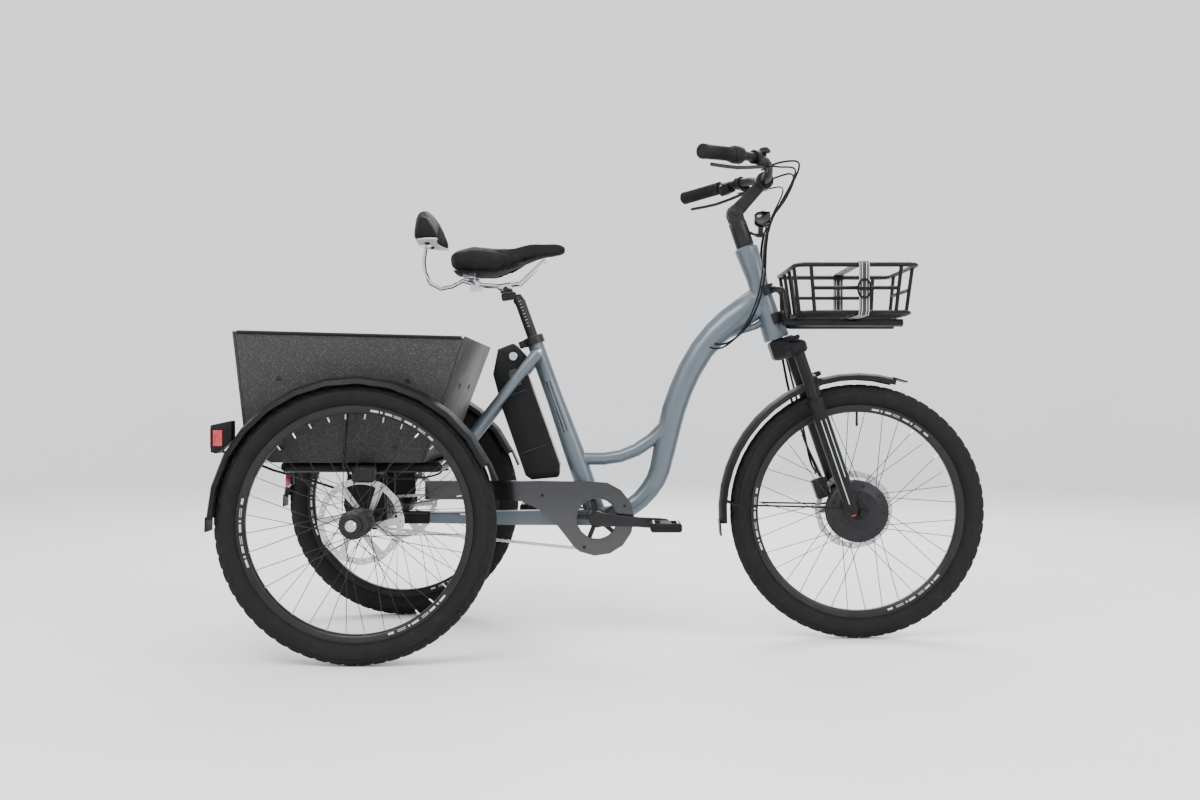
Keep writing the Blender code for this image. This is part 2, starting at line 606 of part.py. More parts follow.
# headlight on a bracket from the steering spacers
lamp_c = P(-0.2310, 1.0157)
lamp = lathe([(0, -0.0180), (0.0130, -0.0180), (0.0190, -0.0120), (0.0210, 0.0000), (0.0210, 0.0195),
              (0.0190, 0.0200), (0.0185, 0.0180), (0, 0.0180)], lamp_c, (1, 0, 0), 16)
foot = block(P(-0.2335, 0.9900), (0.012, 0.0085, 0.020), None, 0.001)
lamp = cut(union(lamp, foot), rod(LAMP_PIVOT - YY * 0.02, LAMP_PIVOT + YY * 0.02, 0.0024, 10))
done(lamp, "headlight", GLASS, "headlight")
lamp_bolt = LAMP_PIVOT
strap = [S(0.1500, 0.0180), S(0.1400, 0.0300), S(0.1310, 0.0385)]
br = tube(strap, 0.0035, 8, 0.0085)
br2 = [block(lamp_bolt + YY * (s * 0.0066), (0.012, 0.0035, 0.0150), None, 0.0008) for s in (-1, 1)]
web = tube([S(0.1400, 0.0330), lamp_bolt - Vector((0.004, 0, 0.0108)), lamp_bolt - Vector((-0.005, 0, 0.0108))], 0.0036, 8, 0.0090)
pin = rod(lamp_bolt - YY * 0.0100, lamp_bolt + YY * 0.0100, 0.0020, 10)
done(union(base, br, web, *br2, pin), "stem_base", BLACK, "steering")

# ------------------------------------------------------------------ frame
main_pts = [(-0.2350, 0.8170), (-0.2480, 0.8080), (-0.2751, 0.7909), (-0.3104, 0.7666), (-0.3432, 0.7374), (-0.3760, 0.6985),
            (-0.4051, 0.6499), (-0.4270, 0.6013), (-0.4440, 0.5527), (-0.4562, 0.5041), (-0.4671, 0.4555),
            (-0.4780, 0.4069), (-0.4878, 0.3826), (-0.5036, 0.3583), (-0.5254, 0.3340), (-0.5546, 0.3121),
            (-0.6000, 0.2985), (-0.6300, 0.2945)]
depth = [0.0370, 0.0370, 0.0350, 0.0330, 0.0310, 0.0295, 0.0290, 0.0285, 0.0285, 0.0280, 0.0270, 0.0250, 0.0240,
         0.0230, 0.0220, 0.0215, 0.0210, 0.0210]
main = tube([P(x, z) for x, z in main_pts], depth, 10, [0.0200, 0.0240] + [v * 0.80 for v in depth[2:]])
head = lathe([(0, -0.1185), (0.0300, -0.1185), (0.0320, -0.1120), (0.0310, -0.1070), (0.0300, -0.0850), (0.0250, -0.0550), (0.0240, 0.0400),
              (0.0270, 0.0850), (0.0285, 0.1070), (0.0285, 0.1130), (0.0240, 0.1180), (0, 0.1180)], S(0), U, 14)
loop_pts = [P(-0.690, 0.4352), P(-0.664, 0.4350), P(-0.6129, 0.4350), P(-0.5741, 0.4409), P(-0.5352, 0.4555),
            P(-0.4963, 0.4810), P(-0.4600, 0.5180)]
loop = tube(loop_pts, 0.0165, 10)
seat = lathe([(0, 0), (0.0250, 0.010), (0.0245, 0.160), (0.0200, 0.300), (0.0190, 0.4640), (0, 0.4640)], BBP, SEAT_DIR, 14)
shell = lathe([(0, -0.0360), (0.0230, -0.0360), (0.0250, -0.0340), (0.0250, 0.0340), (0.0230, 0.0360), (0, 0.0360)],
              BBP, YY, 16)
strut = tube([P(-0.2140, 0.7760), P(-0.2450, 0.7560), P(-0.3180, 0.7330)], 0.0085, 8)
beam = loft([[P(x, z0, -w), P(x, z0, w), P(x, z1, w), P(x, z1, -w)] for x, z0, z1, w in
             ((-0.6350, 0.2740, 0.3120, 0.0190), (-0.8300, 0.2745, 0.3080, 0.0185), (-1.0330, 0.2790, 0.3040, 0.0175))])
stays = [tube([P(-0.7720, 0.6900, s * 0.030), P(-0.7760, 0.6850, s * 0.0555), P(-0.7950, 0.6620, s * 0.0560),
               P(-0.9760, 0.4320, s * 0.0560)], 0.0130, 10) for s in (-1, 1)]
cross = rod(P(-0.7720, 0.6900, -0.034), P(-0.7720, 0.6900, 0.034), 0.0130, 10)
frame = union(main, head, loop, seat, shell, strut, beam, cross, *stays)
frame = cut(frame,
            lathe([(0, -0.13), (0.0155, -0.13), (0.0155, 0.13), (0, 0.13)], S(0), U, 12),
            rod(Q(0.17, 0), Q(0.50, 0), POST_R + 0.0008, 14),
            rod(BBP - YY * 0.05, BBP + YY * 0.05, 0.0150, 14),
            block(Q(0.450, 0.020), (0.003, 0.03, 0.05), basis(YY, SEAT_BACK, SEAT_DIR)))
done(frame, "main_frame", GREY, "frame", 34)

clampring = lathe([(0, 0.4440), (0.0250, 0.4440), (0.0250, 0.4630), (0, 0.4630)], BBP, SEAT_DIR, 14)
lugb = block(Q(0.4535, 0.0290), (0.024, 0.018, 0.017), basis(YY, SEAT_BACK, SEAT_DIR), 0.002)
clampring = cut(union(clampring, lugb), lathe([(0, 0.40), (0.0205, 0.40), (0.0200, 0.50), (0, 0.50)], BBP, SEAT_DIR, 14),
                block(Q(0.4535, 0.0300), (0.0025, 0.030, 0.030), basis(YY, SEAT_BACK, SEAT_DIR)))
clampring = union(clampring, rod(Q(0.4535, 0.0310, -0.016), Q(0.4535, 0.0310, 0.016), 0.0042, 8))
done(clampring, "seat_clamp", BLACK, "frame")
# rear carrier: rails, cross tubes, axle housings, brake plates
RZ = 0.4228
car = []
for s in (-1, 1):
    car.append(tube([P(-1.3450, RZ, s * 0.170), P(-0.9980, RZ, s * 0.170)], 0.0125, 10))
    pl = [(-1.190, 0.4100), (-1.110, 0.4100), (-1.105, 0.3400), (-1.125, 0.2850), (-1.179, 0.2850), (-1.199, 0.3400)]
    car.append(plate(pl, *sorted((s * 0.2320, s * 0.2380))))
car.append(tube([P(-1.1520, 0.4020, -0.2350), P(-1.1520, 0.4020, 0.2350)], 0.0110, 8))
car.append(tube([P(-0.9980, RZ, -0.170), P(-0.9980, RZ, 0.170)], 0.0125, 10))
car.append(tube([P(-1.3450, RZ, -0.170), P(-1.3450, RZ, 0.170)], 0.0125, 10))
for y0, y1 in ((-0.1060, -0.1000), (0.0100, 0.0160)):
    car.append(plate([(-1.180, 0.4020), (-1.124, 0.4020), (-1.124, 0.2860), (-1.180, 0.2860)], y0, y1))
car.append(pipe(P(-1.152, WHEEL_R, -0.2385), P(-1.152, WHEEL_R, -0.1000), 0.0200, 0.0080, 12))
car.append(pipe(P(-1.152, WHEEL_R, 0.2385), P(-1.152, WHEEL_R, -0.0150), 0.0200, 0.0080, 12))
car.append(block(P(-1.0870, 0.2920, 0.0), (0.1020, 0.0260, 0.0300), None, 0.002))
car.append(tube([P(-1.3450, 0.4150, 0.0), P(-1.3720, 0.4050, 0.0), P(-1.3720, 0.3720, 0.0)], 0.0040, 8, 0.012))
carrier = cut(union(*car),
              lathe([(0, -0.30), (0.0102, -0.30), (0.0102, 0.30), (0, 0.30)], P(-1.152, WHEEL_R), YY, 12),
              block(P(-1.1520, 0.2900, -0.0575), (0.120, 0.0840, 0.120)))
done(carrier, "rear_carrier", BLACK, "frame", 30)

# chain drive
sprock = [(0, -0.0670), (0.0096, -0.0670), (0.0096, -0.0880), (0.0170, -0.0880), (0.0175, -0.0640)]
for i, (r, y) in enumerate(((0.0270, -0.0560), (0.0322, -0.0500), (0.0420, -0.0440))):
    sprock += [(0.0175, y - 0.0009), (r, y - 0.0009), (r, y + 0.0009), (0.0175, y + 0.0009)]
sprock += [(0.0190, -0.0370), (0.0190, -0.0190), (0.0096, -0.0190), (0.0096, -0.0380), (0, -0.0380)]
done(lathe(sprock, P(-1.152, WHEEL_R), YY, 18), "cassette", STEEL, "cassette", 40)

RC, RS, CT = 0.0768, 0.0364, 0.0040


def belt(off, seg0=18, seg1=10):
    """Loop round chainring and sprocket, off outside their pitch circles."""
    c0, c1 = Vector((BB[0], BB[1])), Vector((-WHEEL_BASE, WHEEL_R))
    v = c1 - c0
    base_a = math.atan2(v.y, v.x)
    g = math.acos((RC - RS) / v.length)
    out = []
    for k in range(seg0 + 1):
        a = base_a + g + (2 * math.pi - 2 * g) * k / seg0
        out.append((c0.x + (RC + off) * math.cos(a), c0.y + (RC + off) * math.sin(a)))
    for k in range(seg1 + 1):
        a = base_a - g + 2 * g * k / seg1
        out.append((c1.x + (RS + off) * math.cos(a), c1.y + (RS + off) * math.sin(a)))
    return out


done(plate(belt(CT), -0.0527, -0.0473, [belt(-0.0038)]), "chain", STEEL, "frame", 40)

# cranks: right arm with axle and spider, ring, left arm
axle = lathe([(0, -0.0900), (0.0110, -0.0900), (0.0110, 0.0600), (0.0070, 0.0640), (0.0070, 0.0870), (0, 0.0870)], BBP, YY, 16)
ca = math.radians(-3.6)
cd = Vector((math.cos(ca), 0, math.sin(ca)))
ce = Vector((-math.sin(ca), 0, math.cos(ca)))


def crank_arm(s, y0, y1):
    dd = cd * (1 if s < 0 else -1)
    rings = []
    for a, h, ya, yb in ((-0.016, 0.009, 0.002, 0.0), (0.0, 0.0185, 0.0, 0.0), (0.020, 0.0150, 0.0, 0.0), (0.100, 0.0115, 0.0, 0.0),
                         (0.150, 0.0125, 0.0, 0.0), (0.166, 0.0120, 0.0, 0.0), (0.174, 0.006, 0.001, 0.0)):
        k = 0.0025
        p = BBP + dd * a
        lo, hi = y0 + ya, y1 - ya
        rings.append([p + ce * b + YY * (s * y) for b, y in ((-h, lo + k), (-h + k, lo), (h - k, lo), (h, lo + k),
                                                             (h, hi - k), (h - k, hi), (-h + k, hi), (-h, hi - k))])
    return loft(rings)


arms = [tube([BBP + Vector((0.010 * math.cos(a), -0.0575, 0.010 * math.sin(a))),
              BBP + Vector((0.0660 * math.cos(a), -0.0500, 0.0660 * math.sin(a)))], 0.0055, 6, 0.0040)
        for a in (math.radians(-3.6 + 36 + 72 * k) for k in range(5))]
hubb = lathe([(0, -0.0860), (0.0190, -0.0860), (0.0190, -0.0560), (0, -0.0560)], BBP, YY, 14)
ringo = lathe([(0.0600, -0.0515), (0.0722, -0.0515), (0.0722, -0.0485), (0.0600, -0.0485)], BBP, YY, 24)
right = union(hubb, crank_arm(-1, 0.0790, 0.0930), axle, ringo, *arms)
done(right, "crank_right_chainring", BLACK, "crank", 30)
left = cut(crank_arm(1, 0.0740, 0.0880), lathe([(0, 0.07), (0.0074, 0.07), (0.0074, 0.0900), (0, 0.0900)], BBP, YY, 16))
done(left, "crank_left", BLACK, "crank")
for s, tag, c in ((-1, "right", PEDAL_R_AXIS), (1, "left", PEDAL_L_AXIS)):
    inner = 0.0934 if s < 0 else 0.0884
    bodyp = block(c, (0.072, 0.092, 0.020), None, 0.004)
    wins = [block(c + Vector((dx, 0, 0)), (0.016, 0.070, 0.04)) for dx in (-0.021, 0.021)]
    sp = rod(Vector((c.x, s * inner, c.z)), Vector((c.x, s * (PEDAL_Y - 0.04), c.z)), 0.0065, 12)
    done(cut(union(bodyp, sp), *wins), "pedal_" + tag, PLASTIC, "pedal_" + tag)

# chain guard: cover plate outside the chain with a round opening at the crank
GUARD_R = 0.0890
rim_a = [math.radians(d) for d in range(98, -95, -24)]
out = [(-1.0400, 0.3840), (-0.8720, 0.3840), (-0.7400, 0.3835)]
out += [(BB[0] + GUARD_R * math.cos(q), BB[1] + GUARD_R * math.sin(q)) for q in rim_a]
out += [(BB[0] - 0.0410, BB[1] - 0.0790), (-0.6865, 0.2290), (-0.7127, 0.2627), (-0.7320, 0.2870), (-0.7700, 0.3170), (-0.8100, 0.3355),
        (-0.8720, 0.3390), (-1.0400, 0.3400)]
hole = circle(BB[0], BB[1], 0.0480, 18)
gp = plate(out, -0.0640, -0.0615, [hole])
lip = plate([(BB[0] + (GUARD_R - 0.0003) * math.cos(q), BB[1] + (GUARD_R - 0.0003) * math.sin(q)) for q in rim_a]
            + [(BB[0] + (GUARD_R - 0.0025) * math.cos(q), BB[1] + (GUARD_R - 0.0025) * math.sin(q)) for q in reversed(rim_a)],
            -0.0635, -0.0440)
tx, tz = BB[0] + GUARD_R * math.cos(rim_a[0]), BB[1] + GUARD_R * math.sin(rim_a[0])
top = plate([(-1.0390, 0.3837), (-0.7400, 0.3832), (tx - 0.001, tz - 0.0004), (tx - 0.001, tz - 0.0030), (-0.7400, 0.3806), (-1.0390, 0.3811)], -0.0635, -0.0440)
done(union(gp, lip, top), "chain_guard", GLASS, "frame", 30)

# ------------------------------------------------------------- cargo box
BOX_Z0, BOX_HB, BOX_HT = 0.4362, 0.2500, 0.2950
FB, FT, RB, RT = (-1.0150, 0.4362), (-0.9150, 0.7160), (-1.4130, 0.4362), (-1.4340, 0.7290)


def half_w(z):
    return BOX_HB + (BOX_HT - BOX_HB) * (z - BOX_Z0) / 0.2863


def end_panel(bottom, top, inward):
    """Slanted end panel, full width, BOX_WALL thick."""
    d = (Vector((top[0], top[1])) - Vector((bottom[0], bottom[1]))).normalized()
    n = Vector((d.y, -d.x)) * (BOX_WALL * inward)
    rings = []
    for (x, z) in (bottom, top):
        w = half_w(z)
        rings.append([P(x, z, -w), P(x, z, w), P(x + n.x, z + n.y, w), P(x + n.x, z + n.y, -w)])
    return loft(rings)


def inner_x(bottom, top, z, inward):
    d = (Vector((top[0], top[1])) - Vector((bottom[0], bottom[1]))).normalized()
    off = (BOX_WALL + GAP) / abs(d.y) * inward
    return bottom[0] + (top[0] - bottom[0]) * (z - bottom[1]) / (top[1] - bottom[1]) + off


fpanel = end_panel(FB, FT, -1)
done(cut(fpanel, *[block(P(-0.9390, 0.6100, y), (0.080, 0.030, 0.012)) for y in (-0.10, 0.10)]), "box_front_panel", PANEL, "frame")
done(end_panel(RB, RT, 1), "box_rear_panel", PANEL, "frame")
for s, tag in ((-1, "right"), (1, "left")):
    rings = []
    for z, zt in ((BOX_Z0, 0), (0.7100, 1)):
        w = half_w(z)
        xf = inner_x(FB, FT, z, -1)
        xr = inner_x(RB, RT, z, 1)
        zf, zr = (z, z) if not zt else (0.7140, 0.7270)
        if zt:
            xf, xr = inner_x(FB, FT, zf, -1), inner_x(RB, RT, zr, 1)
        rings.append([P(xf, zf, s * half_w(zf)), P(xr, zr, s * half_w(zr)),
                      P(xr, zr, s * (half_w(zr) - BOX_WALL)), P(xf, zf, s * (half_w(zf) - BOX_WALL))])
    done(loft(rings), "box_side_" + tag, PANEL, "frame")
z0, z1 = BOX_Z0, BOX_Z0 + BOX_WALL
rings = []
for z in (z0, z1):
    xf, xr = inner_x(FB, FT, z, -1), inner_x(RB, RT, z, 1)
    w = half_w(z) - BOX_WALL - 0.0010
    rings.append([P(xf, z, -w), P(xf, z, w), P(xr, z, w), P(xr, z, -w)])
done(loft(rings), "box_floor", PANEL, "frame")
ref = lathe([(0, 0), (0.0160, 0), (0.0180, 0.002), (0.0180, 0.008), (0, 0.0085)], P(-1.3765, 0.3830), (-1, 0, 0), 16)
done(ref, "rear_reflector", RED, "frame")

# rear mudguards with a stay to the brake plate, and the tail light
RSEC = [(0.3050, -0.0342), (0.3155, -0.0300), (0.3215, -0.0160), (0.3215, 0.0160), (0.3155, 0.0300), (0.3050, 0.0342),
        (0.3046, 0.0326), (0.3142, 0.0288), (0.3199, 0.0153), (0.3199, -0.0153), (0.3142, -0.0288), (0.3046, -0.0326)]
for s, tag in ((-1, "right"), (1, "left")):
    c = AXLE_R + YY * s * HALF_TRACK
    sec = [(r, y + c.y) for r, y in RSEC]
    g = arc_sweep(sec, c, -88, 66, 12)
    flaps = []
    for ang, ln in ((-88, -0.022), (66, 0.034)):
        a = math.radians(ang)
        rad = Vector((math.sin(a), 0, math.cos(a)))
        tan = Vector((math.cos(a), 0, -math.sin(a)))
        flaps.append(block(c + rad * 0.3198 + tan * (ln * 0.5), (abs(ln) + 0.010, 0.050, 0.0034), basis(tan, YY, rad)))
    wire = tube([P(-1.1850, 0.3980, s * 0.2420), P(-1.1860, 0.4180, s * 0.2560), P(-1.1870, 0.4320, s * 0.3000),
                 P(-1.1720, 0.6080, s * 0.3045), P(-1.1700, 0.6240, s * 0.3150)], 0.0028, 6)
    wire2 = tube([P(-1.1900, 0.3700, s * 0.2420), P(-1.2600, 0.3950, s * 0.2600), P(-1.3400, 0.4220, s * 0.3030),
                  P(-1.4300, 0.4580, s * 0.3050), P(-1.4500, 0.4640, s * 0.3150)], 0.0028, 6)
    done(union(g, *flaps, wire, wire2), "rear_mudguard_" + tag, PLASTIC, "frame", 40)
    hc = P(-1.4370, 0.4960, s * HALF_TRACK)
    housing = loft([[P(x, z, s * HALF_TRACK + w) for w, z in ((-hw, z0), (hw, z0), (hw, z1), (-hw, z1))]
                    for x, z0, z1, hw in ((-1.4620, 0.4640, 0.5220, 0.0200), (-1.4500, 0.4610, 0.5250, 0.0220),
                                          (-1.4180, 0.4900, 0.5320, 0.0150))])
    inner_cut = arc_sweep([(0.290, c.y - 0.04), (0.3190, c.y - 0.04), (0.3225, c.y - 0.008), (0.3225, c.y + 0.008), (0.3190, c.y + 0.04), (0.290, c.y + 0.04)], c, -80, -35, 10)
    if s < 0:
        done(cut(housing, inner_cut), "tail_light", RED, "frame")
    else:
        bpy.data.objects.remove(housing, do_unlink=True)
        bpy.data.objects.remove(inner_cut, do_unlink=True)
    # rear brake caliper over the disc, carried by the brake plate
    cb = block(P(-1.1450, 0.4120, s * 0.2760), (0.050, 0.0440, 0.036), None, 0.005)
    sl = lathe([(0, 0.2764), (0.1000, 0.2764), (0.1000, 0.2816), (0, 0.2816)], AXLE_R, YY * s, 36)
    neck = block(P(-1.1420, 0.4180, s * 0.2470), (0.030, 0.0170, 0.016))
    done(cut(union(cb, neck), sl, rod(P(-1.152, 0.4020, s * 0.225), P(-1.152, 0.4020, s * 0.2386), 0.013, 10)),
         "rear_brake_caliper_" + tag, BLACK, "frame")

# --------------------------------------------------------------- front basket
R1 = 0.0055
TZ, BZ = 0.8890, 0.7800


def loop_tube(pts, r, seg=6):
    """Closed ring of tube through corner points in order."""
    n = len(pts)
    rings = []
    for i in range(n):
        p, a, b = Vector(pts[i]), Vector(pts[i - 1]), Vector(pts[(i + 1) % n])
        t = ((p - a).normalized() + (b - p).normalized()).normalized()
        up = Vector((0, 0, 1))
        sd = t.cross(up).normalized()
        k = 1.0 / max(0.6, t.dot((b - p).normalized()))
        rings.append([p + sd * (r * k * math.cos(2 * math.pi * (j + .5) / seg)) + up * (r * math.sin(2 * math.pi * (j + .5) / seg))
                      for j in range(seg)])
    return loft(rings, caps=False, loop=True)


def rrect(x0, x1, w, z, c=0.022):
    q = 0.3 * c
    out = []
    for sx, sy in ((1, 1), (-1, 1), (-1, -1), (1, -1)):
        cx, cy = (x1 if sx > 0 else x0), sy * w
        pts = [P(cx, z, cy - sy * c), P(cx - sx * q, z, cy - sy * q), P(cx - sx * c, z, cy)]
        out += pts if sx * sy > 0 else pts[::-1]
    return out


rim_t = loop_tube(rrect(-0.1700, 0.1115, 0.1645, TZ), R1)
rim_b = loop_tube(rrect(-0.1550, 0.0990, 0.1450, BZ), R1)
bits = []


def side_pt(u, z, s):
    """Point on the basket's side face, u from rear (0) to front (1)."""
    f = (z - BZ) / (TZ - BZ)
    return P(-0.1550 + (-0.0150) * f + u * (0.2540 + 0.0275 * f), z, s * (0.1450 + 0.0195 * f))


def end_pt(front, v, z):
    f = (z - BZ) / (TZ - BZ)
    x = (0.0990 + 0.0125 * f) if front else (-0.1550 - 0.0150 * f)
    return P(x, z, v * (0.1450 + 0.0195 * f))


for s in (-1, 1):
    for u in (0.12, 0.86):
        bits.append(tube([side_pt(u, BZ, s), side_pt(u, TZ, s)], 0.0045, 6))
    bits.append(tube([side_pt(0.12, 0.8360, s), side_pt(0.86, 0.8360, s)], 0.0045, 6))
for v in (-0.62, 0.62):
    bits.append(tube([end_pt(True, v, BZ), end_pt(True, v, TZ)], 0.0045, 6))
for v in (-0.75, -0.25, 0.25, 0.75):
    bits.append(tube([end_pt(False, v, BZ), end_pt(False, v, TZ)], 0.0045, 6))
bits.append(tube([end_pt(True, -0.62, 0.8360), end_pt(True, 0.62, 0.8360)], 0.0045, 6))
for v in (-0.100, -0.050, 0.0, 0.050, 0.100):
    bits.append(tube([P(-0.1550, BZ - 0.001, v), P(0.0990, BZ - 0.001, v)], 0.0040, 6))
bits.append(tube([P(-0.030, BZ - 0.001, -0.1450), P(-0.030, BZ - 0.001, 0.1450)], 0.0045, 6))
done(union(rim_t, rim_b, *bits), "front_basket", BLACK, "frame", 40)

arms = [tube([S(-0.070, 0.030, s * 0.024), P(-0.1780, 0.7630, s * 0.0460), P(-0.1550, 0.7610, s * 0.0500), P(0.1000, 0.7610, s * 0.0500)],
             0.0095, 6) for s in (-1, 1)]
clamps = [lathe([(0.0200, t - h), (ro, t - h), (ro, t + h), (0.0200, t + h)], S(0), U, 12) for t, h, ro in ((0.002, 0.0120, 0.0335), (-0.070, 0.0130, 0.0370))]
lk = [tube([S(0.004, 0.0240, s * 0.0200), P(-0.1850, 0.8440, s * 0.0320), P(-0.1780, 0.8350, s * 0.0340), P(-0.1760, 0.8000, s * 0.0380), P(-0.1720, 0.7640, s * 0.0460)],
           0.0050, 6, 0.0080) for s in (-1, 1)]
brk = union(clamps[0], clamps[1], *lk, *arms)
brk = cut(brk, lathe([(0, -0.12), (0.0330, -0.12), (0.0322, -0.1000), (0.0306, -0.0840), (0.0266, -0.056), (0.0258, -0.0400), (0.0258, 0.0500),
                      (0.0274, 0.0720), (0, 0.0720)], S(0), U, 14),
          block(S(-0.035, -0.034), (0.072, 0.090, 0.110), basis(N, YY, U)))
done(brk, "basket_bracket", BLACK, "frame", 40)

# ------------------------------------------------------------ seat group
post = tube([Q(0.235, 0), Q(0.552, 0), Q(0.562, 0.003), Q(0.566, 0.012)], [POST_R, POST_R, POST_R, 0.0100], 12)
head_b = block(P(-0.8440, 0.8280), (0.036, 0.030, 0.018), basis(Vector((0.985, 0, 0.17)), YY, Vector((-0.17, 0, 0.985))), 0.003)
done(union(post, head_b), "seatpost", BLACK, "seatpost")
rails = []
for s in (-1, 1):
    rails.append(tube([P(-0.7550, 0.9150, s * 0.0200), P(-0.7660, 0.9060, s * 0.0215), P(-0.8150, 0.8585, s * 0.0220),
                       P(-0.8600, 0.8520, s * 0.0220), P(-0.9150, 0.8560, s * 0.0240), P(-0.9350, 0.8720, s * 0.0300)], 0.0042, 6))
cb = block(P(-0.8530, 0.8510), (0.034, 0.056, 0.0150), basis(Vector((0.985, 0, 0.17)), YY, Vector((-0.17, 0, 0.985))), 0.003)
cr = tube([P(-0.9180, 0.8565, -0.0300), P(-0.9180, 0.8565, 0.0300)], 0.0060, 6)
spring = lathe([(0, -0.0200), (0.0150, -0.0170), (0.0170, 0.0), (0.0150, 0.0170), (0, 0.0200)], P(-0.9226, 0.8492), YY, 12)
rodp = [P(-0.9230, 0.8560), P(-0.9568, 0.8662), P(-0.9816, 0.8524), P(-1.0096, 0.8470), P(-1.0350, 0.8600), P(-1.0480, 0.8860), P(-1.0514, 0.9120),
        P(-1.0475, 0.9400), P(-1.0440, 0.9800)]
brod = tube(rodp, 0.0050, 8)
done(union(cb, *rails, cr, spring, brod), "saddle_rails_backrest_rod", STEEL, "saddle", 40)

SADDLE = ((-0.9850, 0.9080, 0.0700, 0.0200), (-0.9700, 0.9060, 0.1050, 0.0290), (-0.9250, 0.9060, 0.1200, 0.0330), (-0.8800, 0.9050, 0.1050, 0.0290),
          (-0.8300, 0.9150, 0.0620, 0.0200), (-0.7700, 0.9360, 0.0330, 0.0180), (-0.7150, 0.9450, 0.0240, 0.0160), (-0.6980, 0.9460, 0.0140, 0.0090))
rings = []
for x, z, w, h in SADDLE:
    rings.append([P(x, z + h * b, w * a) for a, b in ((-0.45, -0.80), (-0.92, -0.95), (-1.0, -0.20), (-0.80, 0.62), (-0.35, 0.95),
                                                      (0.35, 0.95), (0.80, 0.62), (1.0, -0.20), (0.92, -0.95), (0.45, -0.80))])
sad = loft(rings)
under = []
for x, z, w, h in SADDLE[1:-1]:
    under.append([P(x, z + h * b, w * a) for a, b in ((-0.74, -1.4), (0.74, -1.4), (0.66, 0.10), (-0.66, 0.10))])
sad = cut(sad, loft(under))
done(sad, "saddle", LEATHER, "saddle", 50)

PAD = ((-0.132, -1.0400, -1.0020, -1.0230, 0.9560, 0.9830), (-0.118, -1.0600, -0.9980, -1.0360, 0.9545, 1.0080), (-0.070, -1.0680, -1.0060, -1.0460, 0.9545, 1.0320),
       (0.0, -1.0720, -1.0120, -1.0510, 0.9550, 1.0440), (0.070, -1.0680, -1.0060, -1.0460, 0.9545, 1.0320), (0.118, -1.0600, -0.9980, -1.0360, 0.9545, 1.0080), (0.132, -1.0400, -1.0020, -1.0230, 0.9560, 0.9830))
rings = []
for y, xr, xf, xa, zb, zt in PAD:
    h = zt - zb
    rings.append([P(xr + 0.004, zb, y), P(xr, zb + 0.18 * h, y), P(xr + 0.25 * (xa - xr), zb + 0.65 * h, y), P(xa - 0.010, zb + 0.96 * h, y),
                  P(xa, zt, y), P(xa + 0.010, zb + 0.93 * h, y), P(xf + 0.35 * (xa - xf), zb + 0.55 * h, y), P(xf, zb + 0.14 * h, y), P(xf - 0.004, zb, y)])
pad = cut(loft(rings), tube([P(-1.0490, 0.9200), P(-1.0475, 0.9400), P(-1.0440, 0.9860)], 0.0066, 8))
done(pad, "backrest_pad", LEATHER, "saddle", 50)

# --------------------------------------------------------------- battery
bt = [(-0.7206, 0.3913), (-0.7206, 0.4202), (-0.8011, 0.6485), (-0.8020, 0.6844), (-0.8300, 0.7146), (-0.8684, 0.6990),
      (-0.8803, 0.6390), (-0.8586, 0.5576), (-0.8020, 0.3950), (-0.7867, 0.3850)]
case = plate(bt, -0.0400, 0.0400)
m = case.modifiers.new("edge", 'BEVEL')
m.width = 0.0060
m.segments = 2
m.limit_method = 'ANGLE'
m.angle_limit = math.radians(60)
dgx = bpy.context.evaluated_depsgraph_get()
me = bpy.data.meshes.new_from_object(case.evaluated_get(dgx))
case.modifiers.clear()
case.data = me
case = cut(case, rod(LOCK_AT + YY * 0.0060, LOCK_AT - YY * 0.010, 0.0112, 12))
done(case, "battery", PLASTIC, "battery", 30)
lock = lathe([(0, -0.0050), (0.0106, -0.0050), (0.0106, 0.0020), (0.0092, 0.0032), (0, 0.0032)], LOCK_AT, -YY, 14)
key = block(LOCK_AT - YY * 0.0032, (0.0018, 0.002, 0.009))
done(cut(lock, key), "battery_lock", STEEL, "battery_lock")
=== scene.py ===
"""Looks for the three-wheeled electric cargo cycle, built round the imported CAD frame."""
import math

import bmesh
import bpy
import numpy as np
from mathutils import Matrix, Vector
from mathutils.bvhtree import BVHTree


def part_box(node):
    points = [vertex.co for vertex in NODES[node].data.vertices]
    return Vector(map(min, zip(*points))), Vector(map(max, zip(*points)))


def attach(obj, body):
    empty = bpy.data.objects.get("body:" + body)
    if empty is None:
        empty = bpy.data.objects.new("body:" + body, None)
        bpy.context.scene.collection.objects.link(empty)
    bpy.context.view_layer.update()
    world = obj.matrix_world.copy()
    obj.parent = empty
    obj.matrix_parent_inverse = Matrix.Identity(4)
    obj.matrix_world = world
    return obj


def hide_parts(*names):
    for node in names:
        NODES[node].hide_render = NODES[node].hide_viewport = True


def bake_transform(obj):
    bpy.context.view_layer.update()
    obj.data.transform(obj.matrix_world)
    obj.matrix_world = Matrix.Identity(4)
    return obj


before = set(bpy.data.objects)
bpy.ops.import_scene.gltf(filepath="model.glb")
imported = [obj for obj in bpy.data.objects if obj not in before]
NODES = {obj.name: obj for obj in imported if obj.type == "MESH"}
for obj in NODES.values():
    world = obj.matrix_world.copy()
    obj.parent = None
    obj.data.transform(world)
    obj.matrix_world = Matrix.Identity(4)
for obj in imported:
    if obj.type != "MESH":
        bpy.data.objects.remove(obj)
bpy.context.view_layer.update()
_lo, _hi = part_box("front_rotor")
X0 = (_lo.x + _hi.x) / 2                  # front axle
R_WHEEL = 0.3075
BASE = 1.152
HALF = 0.340
AX = math.radians(18.8)
U = Vector((-math.sin(AX), 0.0, math.cos(AX)))
N = Vector((math.cos(AX), 0.0, math.sin(AX)))
YY = Vector((0.0, 1.0, 0.0))
HP = (-0.2319, 0.8371)
